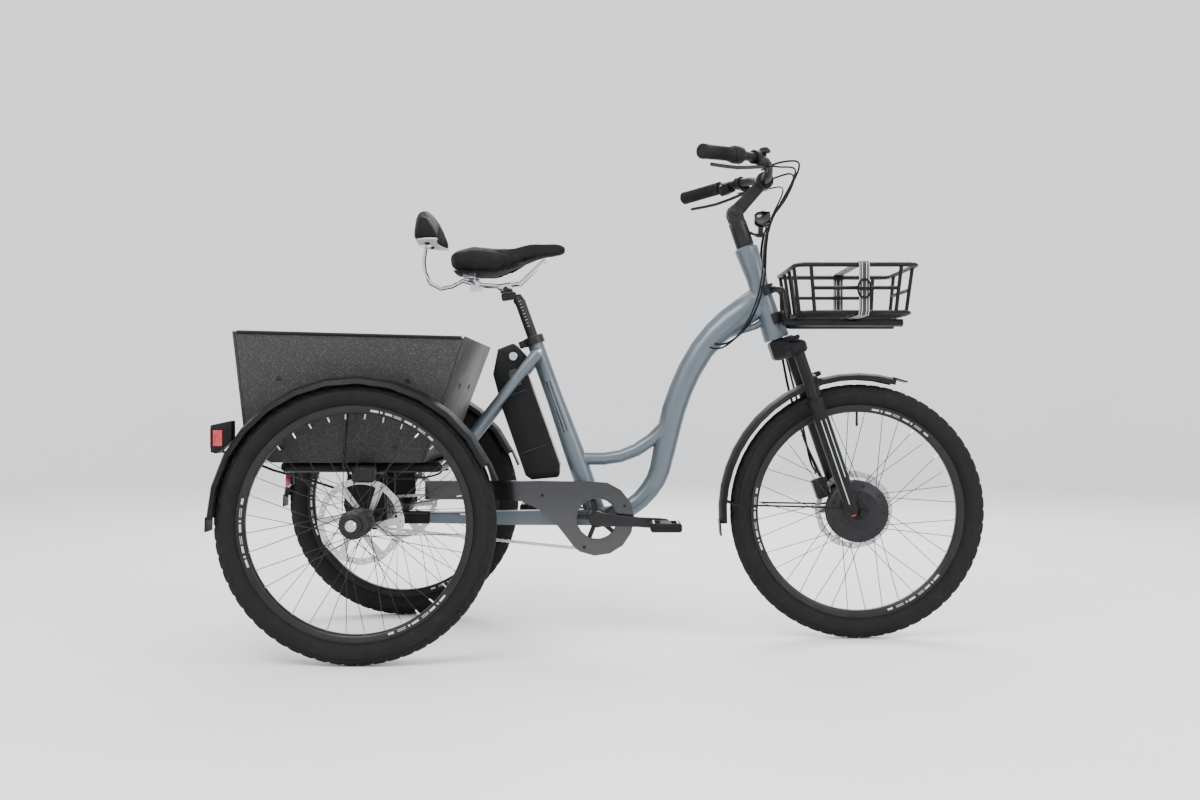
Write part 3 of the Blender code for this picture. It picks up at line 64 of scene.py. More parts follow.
BB = (-0.630, 0.2945)


def P(x, z, y=0.0):
    """Point from x measured from the front axle, height z and side y."""
    return Vector((X0 + x, y, z))


def S(t, n=0.0, y=0.0):
    """Point t up the steering axis from its reference point, n ahead of it."""
    return P(HP[0], HP[1]) + U * t + N * n + YY * y


# ------------------------------------------------------------------ materials
def tree(name):
    m = bpy.data.materials.new(name)
    m.use_nodes = True
    nt = m.node_tree
    bsdf = next(n for n in nt.nodes if n.type == "BSDF_PRINCIPLED")
    tc = nt.nodes.new("ShaderNodeTexCoord")
    return m, nt, bsdf, tc.outputs["Object"]


def noise(nt, co, scale, detail=4.0, rough=0.6):
    n = nt.nodes.new("ShaderNodeTexNoise")
    n.inputs["Scale"].default_value = scale
    n.inputs["Detail"].default_value = detail
    n.inputs["Roughness"].default_value = rough
    nt.links.new(co, n.inputs["Vector"])
    return n.outputs["Fac"]


def voronoi(nt, co, scale, feature="F1", out="Distance"):
    n = nt.nodes.new("ShaderNodeTexVoronoi")
    n.feature = feature
    n.inputs["Scale"].default_value = scale
    nt.links.new(co, n.inputs["Vector"])
    return n.outputs[out]


def ramp(nt, fac, stops):
    n = nt.nodes.new("ShaderNodeValToRGB")
    e = n.color_ramp.elements
    while len(e) < len(stops):
        e.new(0.5)
    for el, (pos, col) in zip(e, stops):
        el.position = pos
        el.color = tuple(col) + (1.0,) if len(col) == 3 else col
    nt.links.new(fac, n.inputs["Fac"])
    return n.outputs["Color"]


def maprange(nt, fac, lo, hi, a=0.0, b=1.0):
    n = nt.nodes.new("ShaderNodeMapRange")
    n.inputs["From Min"].default_value = a
    n.inputs["From Max"].default_value = b
    n.inputs["To Min"].default_value = lo
    n.inputs["To Max"].default_value = hi
    nt.links.new(fac, n.inputs["Value"])
    return n.outputs["Result"]


def math_node(nt, op, a, b=None):
    n = nt.nodes.new("ShaderNodeMath")
    n.operation = op
    for i, v in enumerate((a, b)):
        if v is None:
            continue
        if isinstance(v, (int, float)):
            n.inputs[i].default_value = v
        else:
            nt.links.new(v, n.inputs[i])
    return n.outputs[0]


def bump(nt, height, bsdf, dist, strength=1.0, prev=None):
    n = nt.nodes.new("ShaderNodeBump")
    n.inputs["Strength"].default_value = strength
    n.inputs["Distance"].default_value = dist
    nt.links.new(height, n.inputs["Height"])
    if prev is not None:
        nt.links.new(prev, n.inputs["Normal"])
    nt.links.new(n.outputs["Normal"], bsdf.inputs["Normal"])
    return n.outputs["Normal"]


def finish_mat(name, base, vary, scale, rough, dr, metallic=0.0, grain=0.0, gscale=900.0, coat=0.0, spec=0.5, dust=None):
    """Procedural finish: two-tone mottling, uneven roughness, fine grain and faint dust."""
    m, nt, b, co = tree(name)
    f = noise(nt, co, scale, 5.0, 0.62)
    c0 = [max(0.0, x * (1 - vary)) for x in base]
    c1 = [min(1.0, x * (1 + vary)) for x in base]
    col = ramp(nt, f, ((0.32, c0), (0.68, c1)))
    if dust:
        mix = nt.nodes.new("ShaderNodeMix")
        mix.data_type = "RGBA"
        df = maprange(nt, noise(nt, co, 26.0, 8.0, 0.75), 0.0, dust[1], 0.45, 0.8)
        nt.links.new(df, mix.inputs["Factor"])
        nt.links.new(col, mix.inputs[6])
        mix.inputs[7].default_value = tuple(dust[0]) + (1.0,)
        col = mix.outputs[2]
    nt.links.new(col, b.inputs["Base Color"])
    nt.links.new(maprange(nt, noise(nt, co, scale * 2.3, 6.0, 0.7), rough - dr, rough + dr, 0.3, 0.7), b.inputs["Roughness"])
    b.inputs["Metallic"].default_value = metallic
    b.inputs["Specular IOR Level"].default_value = spec
    b.inputs["Coat Weight"].default_value = coat
    b.inputs["Coat Roughness"].default_value = 0.12
    if grain:
        bump(nt, noise(nt, co, gscale, 2.0, 0.5), b, grain, 0.6)
    return m


M = {}
M["frame_paint"] = finish_mat("frame_paint", (0.082, 0.101, 0.118), 0.10, 9.0, 0.38, 0.05, 0.35, 0.00010, 700.0, 0.25)
M["black_paint"] = finish_mat("black_paint", (0.0065, 0.0068, 0.0072), 0.25, 14.0, 0.42, 0.07, 0.0, 0.00010, 1200.0, 0.0, 0.16, ((0.04, 0.04, 0.04), 0.04))
M["black_plastic"] = finish_mat("black_plastic", (0.0065, 0.0067, 0.0070), 0.22, 18.0, 0.48, 0.07, 0.0, 0.00010, 1500.0, 0.0, 0.12, ((0.04, 0.04, 0.04), 0.04))
M["gloss_black"] = finish_mat("gloss_black", (0.0035, 0.0037, 0.0040), 0.25, 10.0, 0.12, 0.04, 0.0, 0.00003, 300.0, 0.5)
M["grip_rubber"] = finish_mat("grip_rubber", (0.009, 0.009, 0.0095), 0.25, 40.0, 0.72, 0.08, 0.0, 0.00025, 1500.0, 0.0, 0.15)
M["black_alloy"] = finish_mat("black_alloy", (0.0110, 0.0112, 0.0118), 0.22, 22.0, 0.38, 0.07, 0.15, 0.00008, 1600.0, 0.0, 0.25)
M["chrome"] = finish_mat("chrome", (0.62, 0.63, 0.65), 0.05, 18.0, 0.12, 0.04, 1.0, 0.00003, 500.0)
M["aluminium"] = finish_mat("aluminium", (0.52, 0.53, 0.55), 0.08, 30.0, 0.30, 0.06, 1.0, 0.00006, 1400.0)
M["pale_paint"] = finish_mat("pale_paint", (0.42, 0.43, 0.43), 0.06, 60.0, 0.42, 0.06, 0.0, 0.00004, 900.0)
M["white_board"] = finish_mat("white_board", (0.66, 0.63, 0.58), 0.07, 30.0, 0.55, 0.06, 0.0, 0.00012, 900.0)
M["pink_strip"] = finish_mat("pink_strip", (0.60, 0.50, 0.49), 0.08, 40.0, 0.5, 0.06, 0.0, 0.00008, 900.0)
M["red_plastic"] = finish_mat("red_plastic", (0.45, 0.012, 0.012), 0.12, 40.0, 0.3, 0.05, 0.0, 0.00006, 900.0, 0.2)


def brushed(name, base, rough):
    m, nt, b, co = tree(name)
    mp = nt.nodes.new("ShaderNodeMapping")
    mp.inputs["Scale"].default_value = (1.0, 30.0, 1.0)
    nt.links.new(co, mp.inputs["Vector"])
    f = noise(nt, mp.outputs[0], 160.0, 6.0, 0.7)
    nt.links.new(ramp(nt, f, ((0.3, [x * 0.82 for x in base]), (0.7, base))), b.inputs["Base Color"])
    nt.links.new(maprange(nt, f, rough - 0.07, rough + 0.07, 0.3, 0.7), b.inputs["Roughness"])
    b.inputs["Metallic"].default_value = 1.0
    bump(nt, f, b, 0.00004, 0.5)
    return m


M["steel"] = brushed("steel", (0.50, 0.50, 0.51), 0.30)


def speckled():
    """Warm dark grey sheet with fine pale and dark flecks."""
    m, nt, b, co = tree("box_panel")
    v = voronoi(nt, co, 620.0, "F1", "Color")
    sep = nt.nodes.new("ShaderNodeSeparateColor")
    nt.links.new(v, sep.inputs[0])
    big = noise(nt, co, 5.0, 6.0, 0.65)
    base = ramp(nt, big, ((0.3, (0.021, 0.0198, 0.0192)), (0.7, (0.030, 0.0284, 0.0272))))
    flecks = ramp(nt, sep.outputs[0], ((0.0, (0.010, 0.0095, 0.009)), (0.22, (0.024, 0.0228, 0.0218)), (0.80, (0.030, 0.0284, 0.0272)), (0.97, (0.085, 0.082, 0.079))))
    mix = nt.nodes.new("ShaderNodeMix")
    mix.data_type = "RGBA"
    mix.inputs["Factor"].default_value = 0.62
    nt.links.new(base, mix.inputs[6])
    nt.links.new(flecks, mix.inputs[7])
    nt.links.new(mix.outputs[2], b.inputs["Base Color"])
    nt.links.new(maprange(nt, big, 0.44, 0.60, 0.3, 0.7), b.inputs["Roughness"])
    b.inputs["Specular IOR Level"].default_value = 0.22
    bump(nt, sep.outputs[1], b, 0.00010, 0.4)
    return m


M["box_panel"] = speckled()


def leather():
    m, nt, b, co = tree("saddle_cover")
    v = voronoi(nt, co, 520.0, "DISTANCE_TO_EDGE")
    cell = maprange(nt, v, 0.0, 1.0, 0.0, 0.16)
    wr = noise(nt, co, 38.0, 6.0, 0.7)
    col = ramp(nt, wr, ((0.3, (0.0055, 0.0055, 0.0058)), (0.7, (0.0095, 0.0092, 0.0095))))
    nt.links.new(col, b.inputs["Base Color"])
    nt.links.new(maprange(nt, wr, 0.60, 0.72, 0.3, 0.7), b.inputs["Roughness"])
    b.inputs["Specular IOR Level"].default_value = 0.10
    n1 = bump(nt, cell, b, 0.00012, 0.35)
    bump(nt, wr, b, 0.0006, 0.22, n1)
    return m


M["saddle_cover"] = leather()


def rubber():
    m, nt, b, co = tree("tyre_rubber")
    big = noise(nt, co, 34.0, 8.0, 0.7)
    col = ramp(nt, big, ((0.30, (0.0080, 0.0079, 0.0078)), (0.62, (0.0130, 0.0128, 0.0125)), (0.82, (0.030, 0.0285, 0.027))))
    nt.links.new(col, b.inputs["Base Color"])
    nt.links.new(maprange(nt, big, 0.62, 0.88, 0.3, 0.7), b.inputs["Roughness"])
    b.inputs["Specular IOR Level"].default_value = 0.10
    bump(nt, noise(nt, co, 1500.0, 3.0, 0.6), b, 0.00020, 0.6)
    return m


M["tyre_rubber"] = rubber()


def lens():
    m, nt, b, co = tree("red_lens")
    v = voronoi(nt, co, 260.0, "DISTANCE_TO_EDGE")
    # colour darkens towards each cell's edge: painted shade in the grooves between the lens facets
    nt.links.new(ramp(nt, v, ((0.0, (0.16, 0.003, 0.004)), (0.25, (0.50, 0.010, 0.012)))), b.inputs["Base Color"])
    nt.links.new(maprange(nt, v, 0.20, 0.08, 0.0, 0.3), b.inputs["Roughness"])
    b.inputs["Coat Weight"].default_value = 0.7
    b.inputs["Coat Roughness"].default_value = 0.05
    bump(nt, maprange(nt, v, 0.0, 1.0, 0.0, 0.2), b, 0.0005, 0.6)
    return m


M["red_lens"] = lens()


def webbing():
    """Black elastic with pale lengthwise stripes."""
    m, nt, b, co = tree("webbing")
    sep = nt.nodes.new("ShaderNodeSeparateXYZ")
    nt.links.new(co, sep.inputs[0])
    x = math_node(nt, "SUBTRACT", sep.outputs[0], X0 - 0.0146)
    s = math_node(nt, "ABSOLUTE", x)
    s = math_node(nt, "MULTIPLY", s, 170.0)
    s = math_node(nt, "FRACT", s)
    col = ramp(nt, s, ((0.0, (0.012, 0.012, 0.012)), (0.66, (0.008, 0.008, 0.008)), (0.70, (0.42, 0.42, 0.41)), (1.0, (0.38, 0.38, 0.37))))
    nt.links.new(col, b.inputs["Base Color"])
    rib = math_node(nt, "SINE", math_node(nt, "MULTIPLY", math_node(nt, "ADD", sep.outputs[1], sep.outputs[2]), 5200.0))
    nt.links.new(maprange(nt, rib, 0.75, 0.9, -1.0, 1.0), b.inputs["Roughness"])
    b.inputs["Sheen Weight"].default_value = 0.25
    bump(nt, rib, b, 0.00015, 0.6)
    return m


M["webbing"] = webbing()


def screen():
    m, nt, b, co = tree("screen_glass")
    f = noise(nt, co, 60.0, 4.0, 0.6)
    nt.links.new(ramp(nt, f, ((0.3, (0.010, 0.012, 0.016)), (0.7, (0.018, 0.021, 0.028)))), b.inputs["Base Color"])
    nt.links.new(maprange(nt, f, 0.05, 0.12, 0.3, 0.7), b.inputs["Roughness"])
    b.inputs["Coat Weight"].default_value = 0.8
    b.inputs["Coat Roughness"].default_value = 0.03
    return m


M["screen_glass"] = screen()


def lamp_glass():
    m, nt, b, co = tree("lamp_glass")
    v = voronoi(nt, co, 330.0, "DISTANCE_TO_EDGE")
    # colour darkens towards each cell's edge: painted shade in the grooves between the reflector facets
    nt.links.new(ramp(nt, v, ((0.0, (0.35, 0.37, 0.40)), (0.3, (0.62, 0.64, 0.67)))), b.inputs["Base Color"])
    nt.links.new(maprange(nt, v, 0.15, 0.05, 0.0, 0.3), b.inputs["Roughness"])
    b.inputs["Metallic"].default_value = 0.5
    b.inputs["Coat Weight"].default_value = 0.8
    bump(nt, v, b, 0.0006, 0.6)
    return m


M["lamp_glass"] = lamp_glass()


# ------------------------------------------------------------------ mesh tools
def add(name, bm_or_me, material, body=None, smooth=35.0):
    if isinstance(bm_or_me, bmesh.types.BMesh):
        me = bpy.data.meshes.new(name)
        bmesh.ops.recalc_face_normals(bm_or_me, faces=bm_or_me.faces)
        bm_or_me.to_mesh(me)
        bm_or_me.free()
    else:
        me = bm_or_me
        me.name = name
    me.materials.clear()
    me.materials.append(M[material])
    me.shade_smooth()
    if smooth:
        me.set_sharp_from_angle(angle=math.radians(smooth))
    ob = bpy.data.objects.new(name, me)
    bpy.context.scene.collection.objects.link(ob)
    if body:
        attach(ob, body)
    return ob


def lathe(bm, prof, o, axis=YY, seg=64, closed=True, a0=0.0, a1=2 * math.pi):
    """Turns (radius, along) points round an axis; a closed profile makes a ring."""
    axis = Vector(axis).normalized()
    e1 = axis.orthogonal().normalized() if abs(axis.y) < 0.9 else Vector((0, 0, 1))
    e2 = axis.cross(e1)
    full = abs(a1 - a0 - 2 * math.pi) < 1e-6
    n = seg if full else seg + 1
    rows = []
    for k in range(n):
        a = a0 + (a1 - a0) * k / seg
        d = e1 * math.cos(a) + e2 * math.sin(a)
        rows.append([bm.verts.new(o + axis * y + d * r) for r, y in prof])
    m = len(prof)
    for k in range(seg):
        r0, r1 = rows[k], rows[(k + 1) % n]
        for j in range(m if closed else m - 1):
            q = (r0[j], r0[(j + 1) % m], r1[(j + 1) % m], r1[j])
            bm.faces.new(q)
    if not full and closed:
        bm.faces.new(rows[0])
        bm.faces.new(list(reversed(rows[-1])))
    return rows


def rod(bm, a, b, r, seg=8, r2=None):
    a, b = Vector(a), Vector(b)
    d = (b - a).normalized()
    e1 = d.orthogonal().normalized()
    e2 = d.cross(e1)
    r2 = r if r2 is None else r2
    v0 = [bm.verts.new(a + (e1 * math.cos(t) + e2 * math.sin(t)) * r) for t in (2 * math.pi * k / seg for k in range(seg))]
    v1 = [bm.verts.new(b + (e1 * math.cos(t) + e2 * math.sin(t)) * r2) for t in (2 * math.pi * k / seg for k in range(seg))]
    for k in range(seg):
        bm.faces.new((v0[k], v0[(k + 1) % seg], v1[(k + 1) % seg], v1[k]))
    bm.faces.new(list(reversed(v0)))
    bm.faces.new(v1)


def spline(pts, sub=8):
    """Catmull-Rom points through pts."""
    p = [Vector(q) for q in pts]
    p = [p[0] * 2 - p[1]] + p + [p[-1] * 2 - p[-2]]
    out = []
    for i in range(1, len(p) - 2):
        for k in range(sub):
            t = k / sub
            a, b, c, d = p[i - 1], p[i], p[i + 1], p[i + 2]
            out.append(0.5 * ((2 * b) + (c - a) * t + (2 * a - 5 * b + 4 * c - d) * t * t + (3 * b - a - 3 * c + d) * t ** 3))
    out.append(p[-2])
    return out


def tube(bm, pts, r, seg=8, flat=1.0, cap=True):
    pts = [Vector(q) for q in pts]
    n = len(pts)
    tan = [(pts[min(i + 1, n - 1)] - pts[max(i - 1, 0)]).normalized() for i in range(n)]
    e = tan[0].orthogonal().normalized()
    rows = []
    for i in range(n):
        e = (e - tan[i] * e.dot(tan[i])).normalized()
        f = tan[i].cross(e)
        ri = r[i] if isinstance(r, (list, tuple)) else r
        rows.append([bm.verts.new(pts[i] + (e * math.cos(a) + f * math.sin(a) * flat) * ri) for a in (2 * math.pi * k / seg for k in range(seg))])
    for i in range(n - 1):
        for k in range(seg):
            bm.faces.new((rows[i][k], rows[i][(k + 1) % seg], rows[i + 1][(k + 1) % seg], rows[i + 1][k]))
    if cap:
        bm.faces.new(list(reversed(rows[0])))
        bm.faces.new(rows[-1])


def box(bm, c, size, ex=Vector((1, 0, 0)), ey=YY, ez=Vector((0, 0, 1)), bev=0.0):
    c = Vector(c)
    v = []
    for sx in (-1, 1):
        for sy in (-1, 1):
            for sz in (-1, 1):
                v.append(bm.verts.new(c + ex * (sx * size[0] / 2) + ey * (sy * size[1] / 2) + ez * (sz * size[2] / 2)))
    fs = [bm.faces.new([v[i] for i in q]) for q in ((0, 1, 3, 2), (4, 6, 7, 5), (0, 4, 5, 1), (2, 3, 7, 6), (0, 2, 6, 4), (1, 5, 7, 3))]
    if bev:
        ed = list({e for f in fs for e in f.edges})
        bmesh.ops.bevel(bm, geom=ed, offset=bev, segments=2, profile=0.6, affect="EDGES")


def plate2d(name, loops, y0, y1, c, material, body, mapf=None):
    """Flat plate from an outline and its holes in the XZ plane."""
    cu = bpy.data.curves.new(name, "CURVE")
    cu.dimensions = "2D"
    cu.fill_mode = "BOTH"
    cu.extrude = abs(y1 - y0) / 2
    for lp in loops:
        sp = cu.splines.new("POLY")
        sp.points.add(len(lp) - 1)
        for q, (a, b) in zip(sp.points, lp):
            q.co = (a, b, 0, 1)
        sp.use_cyclic_u = True
    tmp = bpy.data.objects.new(name + "_c", cu)
    bpy.context.scene.collection.objects.link(tmp)
    dg = bpy.context.evaluated_depsgraph_get()
    me = bpy.data.meshes.new_from_object(tmp.evaluated_get(dg))
    bpy.data.objects.remove(tmp)
    bm = bmesh.new()
    bm.from_mesh(me)
    bpy.data.meshes.remove(me)
    bmesh.ops.remove_doubles(bm, verts=bm.verts, dist=1e-6)
    ym = (y0 + y1) / 2
    for v in bm.verts:
        a, b, w = v.co
        v.co = (c[0] + a, ym + w, c[2] + b) if mapf is None else mapf(a, b, w)
    return add(name, bm, material, body, smooth=30.0)


_bvh = {}


def bvh(node):
    if node not in _bvh:
        bm = bmesh.new()
        bm.from_mesh(NODES[node].data)
        _bvh[node] = BVHTree.FromBMesh(bm)
        bm.free()
    return _bvh[node]


def hit(node, origin, direction):
    p, n, i, d = bvh(node).ray_cast(Vector(origin), Vector(direction).normalized())
    return p, n


def decal(bm, node, quad, direction, nu=12, nv=2, lift=0.0004):
    """Thin film draped on a node: quad are four corner points, projected along direction."""
    q = [Vector(p) for p in quad]
    d = Vector(direction).normalized()
    rows = []
    for i in range(nu + 1):
        u = i / nu
        row = []
        for j in range(nv + 1):
            v = j / nv
            p = (q[0] * (1 - u) + q[1] * u) * (1 - v) + (q[3] * (1 - u) + q[2] * u) * v
            h, n = hit(node, p - d * 0.2, d)
            row.append(h)
        rows.append(row)
    for i in range(nu):
        for j in range(nv):
            c = (rows[i][j], rows[i + 1][j], rows[i + 1][j + 1], rows[i][j + 1])
            if any(p is None for p in c):
                continue
            top = [bm.verts.new(p - d * lift) for p in c]
            bot = [bm.verts.new(p - d * 0.00005) for p in c]
            bm.faces.new(top)
            bm.faces.new(list(reversed(bot)))
            for k in range(4):
                bm.faces.new((top[k], bot[k], bot[(k + 1) % 4], top[(k + 1) % 4]))


def weld_copy(node):
    bm = bmesh.new()
    bm.from_mesh(NODES[node].data)
    bmesh.ops.remove_doubles(bm, verts=bm.verts, dist=2e-5)
    return bm


# ------------------------------------------------------------------ camera and stage
cam_data = bpy.data.cameras.new("camera")
cam_data.sensor_width = 36.0
cam_data.lens = 39.217
cam = bpy.data.objects.new("camera", cam_data)
cam.location = (X0 - 0.60245, -3.17708, 0.57681)
cam.rotation_euler = (math.pi / 2, 0.0, 0.00648)
bpy.context.scene.collection.objects.link(cam)
bpy.context.scene.camera = cam

bm = bmesh.new()
prof = [(0.0, 0.0), (2.0, 0.0), (5.0, 0.0), (6.2, 0.0)]
prof += [(6.2 + 1.6 * math.sin(a), 1.6 - 1.6 * math.cos(a)) for a in (math.radians(d) for d in range(10, 91, 10))] + [(7.8, 4.6)]
lathe(bm, prof[1:], Vector((0, 0, -0.0005)), Vector((0, 0, 1)), 96, closed=False)
lathe(bm, [(0.001, 0.0), (2.0, 0.0)], Vector((0, 0, -0.0005)), Vector((0, 0, 1)), 96, closed=False)
M["floor"] = finish_mat("floor", (0.86, 0.86, 0.86), 0.012, 1.5, 0.62, 0.05, 0.0, 0.0002, 60.0)
floor = add("studio_floor", bm, "floor")
for p in floor.data.polygons:
    pass
floor.parent = None

world = bpy.data.worlds.new("studio")
bpy.context.scene.world = world
world.use_nodes = True
bg = next(n for n in world.node_tree.nodes if n.type == "BACKGROUND")
bg.inputs[0].default_value = (0.93, 0.95, 1.0, 1.0)
bg.inputs[1].default_value = 1.45


def area(name, loc, target, size, power, col=(1, 1, 1)):
    ld = bpy.data.lights.new(name, "AREA")
    ld.shape = "RECTANGLE"
    ld.size, ld.size_y = size
    ld.energy = power
    ld.color = col
    ob = bpy.data.objects.new(name, ld)
    ob.location = loc
    ob.rotation_euler = (Vector(target) - Vector(loc)).to_track_quat("-Z", "Y").to_euler()
    bpy.context.scene.collection.objects.link(ob)


area("key", (-1.6, -3.0, 3.6), (0, 0, 0.4), (2.6, 2.0), 210, (1.0, 0.985, 0.96))
area("fill", (3.0, -2.2, 2.6), (0.2, 0, 0.5), (2.4, 2.0), 100, (0.95, 0.97, 1.0))
area("back", (0.4, 3.4, 3.2), (0, 0, 0.5), (3.2, 1.8), 150, (1.0, 1.0, 1.0))

# ------------------------------------------------------------------ wheels
TREAD_N = 60


def tyre(name, c, body, node):
    """Balloon tyre: cross blocks on the tread, side lugs and moulded side rings."""
    seg, m = TREAD_N * 6, 44
    rc, ra, rb = 0.2815, 0.0260, 0.0270
    bm = bmesh.new()
    rows = []
    for k in range(seg):
        th = 2 * math.pi * k / seg
        cell = (k % 6) / 6.0
        half_cell = ((k + 3) % 6) / 6.0
        row = []
        for j in range(m):
            phi = 2 * math.pi * j / m
            w = abs((phi + math.pi) % (2 * math.pi) - math.pi)
            deg = math.degrees(w)
            r, y = ra * math.cos(phi), rb * math.sin(phi)
            s = 1.0
            d = 0.0
            if deg < 66:
                d = -0.0022
                if deg < 12:
                    d = 0.0 if cell < 0.8 else -0.0022
                elif 16 < deg < 38:
                    off = half_cell if math.sin(phi) > 0 else cell
                    d = 0.0 if off < 0.66 else -0.0022
                elif 42 < deg < 62:
                    off = cell if math.sin(phi) > 0 else half_cell
                    d = -0.0002 if off < 0.5 else -0.0024
            elif deg < 70:
                d = -0.0012
            elif 92 < deg < 96 or 112 < deg < 115:
                d = 0.0005
            L = math.hypot(r, y)
            r, y = r * (L + d) / L, y * (L + d) / L
            rr = rc + r
            if rr < 0.2545:
                rr = 0.2545 + 0.12 * (rr - 0.2545)
                y *= 0.62
            row.append(bm.verts.new(c + Vector((rr * math.sin(th), y, rr * math.cos(th)))))
        rows.append(row)
    for k in range(seg):
        a, b = rows[k], rows[(k + 1) % seg]
        for j in range(m):
            bm.faces.new((a[j], a[(j + 1) % m], b[(j + 1) % m], b[j]))
    ob = add(name, bm, "tyre_rubber", body, smooth=38.0)
    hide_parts(node)


def rim(name, c, body, node):
    bm = bmesh.new()
    half = [(0.2398, 0.0), (0.2402, 0.0065), (0.2425, 0.0098), (0.2470, 0.0112), (0.2530, 0.0128), (0.2562, 0.0140), (0.2578, 0.0137),
            (0.2582, 0.0126), (0.2570, 0.0116), (0.2530, 0.0108), (0.2500, 0.0085), (0.2492, 0.0)]
    prof = half + [(r, -y) for r, y in reversed(half[1:-1])]
    lathe(bm, prof, c, YY, 144)
    rod(bm, c + Vector((0, 0, 0.2415)), c + Vector((0, 0, 0.214)), 0.0030, 12)
    rod(bm, c + Vector((0, 0, 0.214)), c + Vector((0, 0, 0.206)), 0.0038, 12, 0.0028)
    ob = add(name, bm, "black_alloy", body, smooth=40.0)
    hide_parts(node)
    bm = bmesh.new()                       # pale band segments on the rim's sides
    for side in (-1, 1):
        for k in range(3):
            for a, b, r0, r1 in ((8, 12, 0.2464, 0.2506), (13, 14, 0.2464, 0.2506), (15.5, 19, 0.2464, 0.2506), (20, 24, 0.2464, 0.2474), (20, 24, 0.2496, 0.2506), (26, 30, 0.2464, 0.2506), (31, 32, 0.2464, 0.2506),
                                     (33.5, 38, 0.2464, 0.2474), (33.5, 38, 0.2496, 0.2506), (40, 43, 0.2464, 0.2506)):
                y0 = 0.0109 + (0.2462 - 0.2470) * 0.27
                lathe(bm, [(r0, side * (0.01120 + (r0 - 0.2470) * 0.2667 + 0.0002)), (r1, side * (0.01120 + (r1 - 0.2470) * 0.2667 + 0.0002)),
                           (r1, side * (0.01120 + (r1 - 0.2470) * 0.2667 - 0.0002)), (r0, side * (0.01120 + (r0 - 0.2470) * 0.2667 - 0.0002))],
                      c, YY, max(2, int((b - a) * 1.2)), True, math.radians(a + 120 * k), math.radians(b + 120 * k))
    add(name + "_bands", bm, "pale_paint", body)


def spokes(bm, c, fr, fy, lean, fc=0.0):
    """36 crossed spokes with elbows at the flange, ending short of the rim where the nipples go."""
    for side in (-1, 1):
        for k in range(18):
            b = math.radians(20 * k + 5 * side)
            a = b + math.radians(lean) * (1 if k % 2 else -1)
            y = fc + side * (fy + (0.0014 if k % 2 else -0.0014))
            p = c + Vector((fr * math.sin(a), y, fr * math.cos(a)))
            q = c + Vector((0.2405 * math.sin(b), side * 0.0030, 0.2405 * math.cos(b)))
            d = (q - p).normalized()
            rod(bm, p, q - d * 0.011, 0.00095, 6)
            rod(bm, p - YY * (side * 0.0022), p + YY * (side * 0.0018), 0.0015, 6)


def nipples(name, c, fr, fy, lean, fc, body):
    bm = bmesh.new()
    for side in (-1, 1):
        for k in range(18):
            b = math.radians(20 * k + 5 * side)
            a = b + math.radians(lean) * (1 if k % 2 else -1)
            p = c + Vector((fr * math.sin(a), fc + side * fy, fr * math.cos(a)))
            q = c + Vector((0.2412 * math.sin(b), side * 0.0030, 0.2412 * math.cos(b)))
            d = (q - p).normalized()
            rod(bm, q - d * 0.013, q, 0.0017, 6)
    add(name, bm, "aluminium", body)


def disc(name, c, y, r_out, centre_r, body, node):
    """Brake disc: wavy slotted band on slim swept arms round a carrier ring."""
    n = 180
    out = [((r_out - 0.0010 + 0.0010 * math.cos(12 * a)) * math.cos(a), (r_out - 0.0010 + 0.0010 * math.cos(12 * a)) * math.sin(a))
           for a in (2 * math.pi * k / n for k in range(n))]
    loops = [out, [(centre_r * math.cos(a), centre_r * math.sin(a)) for a in (2 * math.pi * k / 40 for k in range(40))]]
    rin = r_out - 0.0150
    for k in range(6):                     # windows between the arms
        a0 = 60 * k
        ring = [(rin, a0 + 6 + 4.0 * i) for i in range(13)]
        ring += [(centre_r + 0.0100, a0 + 30 - 3.5 * i) for i in range(11)]
        lp = [(r * math.cos(math.radians(d)), r * math.sin(math.radians(d))) for r, d in ring]
        loops.append(lp)
    for k in range(36):                    # slots through the band
        a = math.radians(10 * k)
        rr = r_out - 0.0075 + (0.0022 if k % 2 else -0.0022)
        lx, lw, tilt = 0.0042, 0.0012, 0.9
        cx, cy = rr * math.cos(a), rr * math.sin(a)
        ux, uy = math.cos(a + tilt), math.sin(a + tilt)
        pts = []
        for i in range(10):
            t = 2 * math.pi * i / 10
            px, py = lx * 0.62 * math.cos(t), lw * math.sin(t)
            pts.append((cx + ux * px - uy * py, cy + uy * px + ux * py))
        loops.append(pts)
    ob = plate2d(name, loops, y - 0.0009, y + 0.0009, c, "steel", body)
    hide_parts(node)
    bm = bmesh.new()
    for k in range(6):
        a = math.radians(60 * k + 20)
        p = Vector((c[0] + (centre_r + 0.0052) * math.cos(a), y, c[2] + (centre_r + 0.0052) * math.sin(a)))
        s = 1 if y < 0 else -1
        s = s if name.startswith("rear") else 1
        rod(bm, p - YY * 0.0030, p + YY * 0.0030, 0.0034, 12)
    add(name + "_bolts", bm, "black_alloy", body)


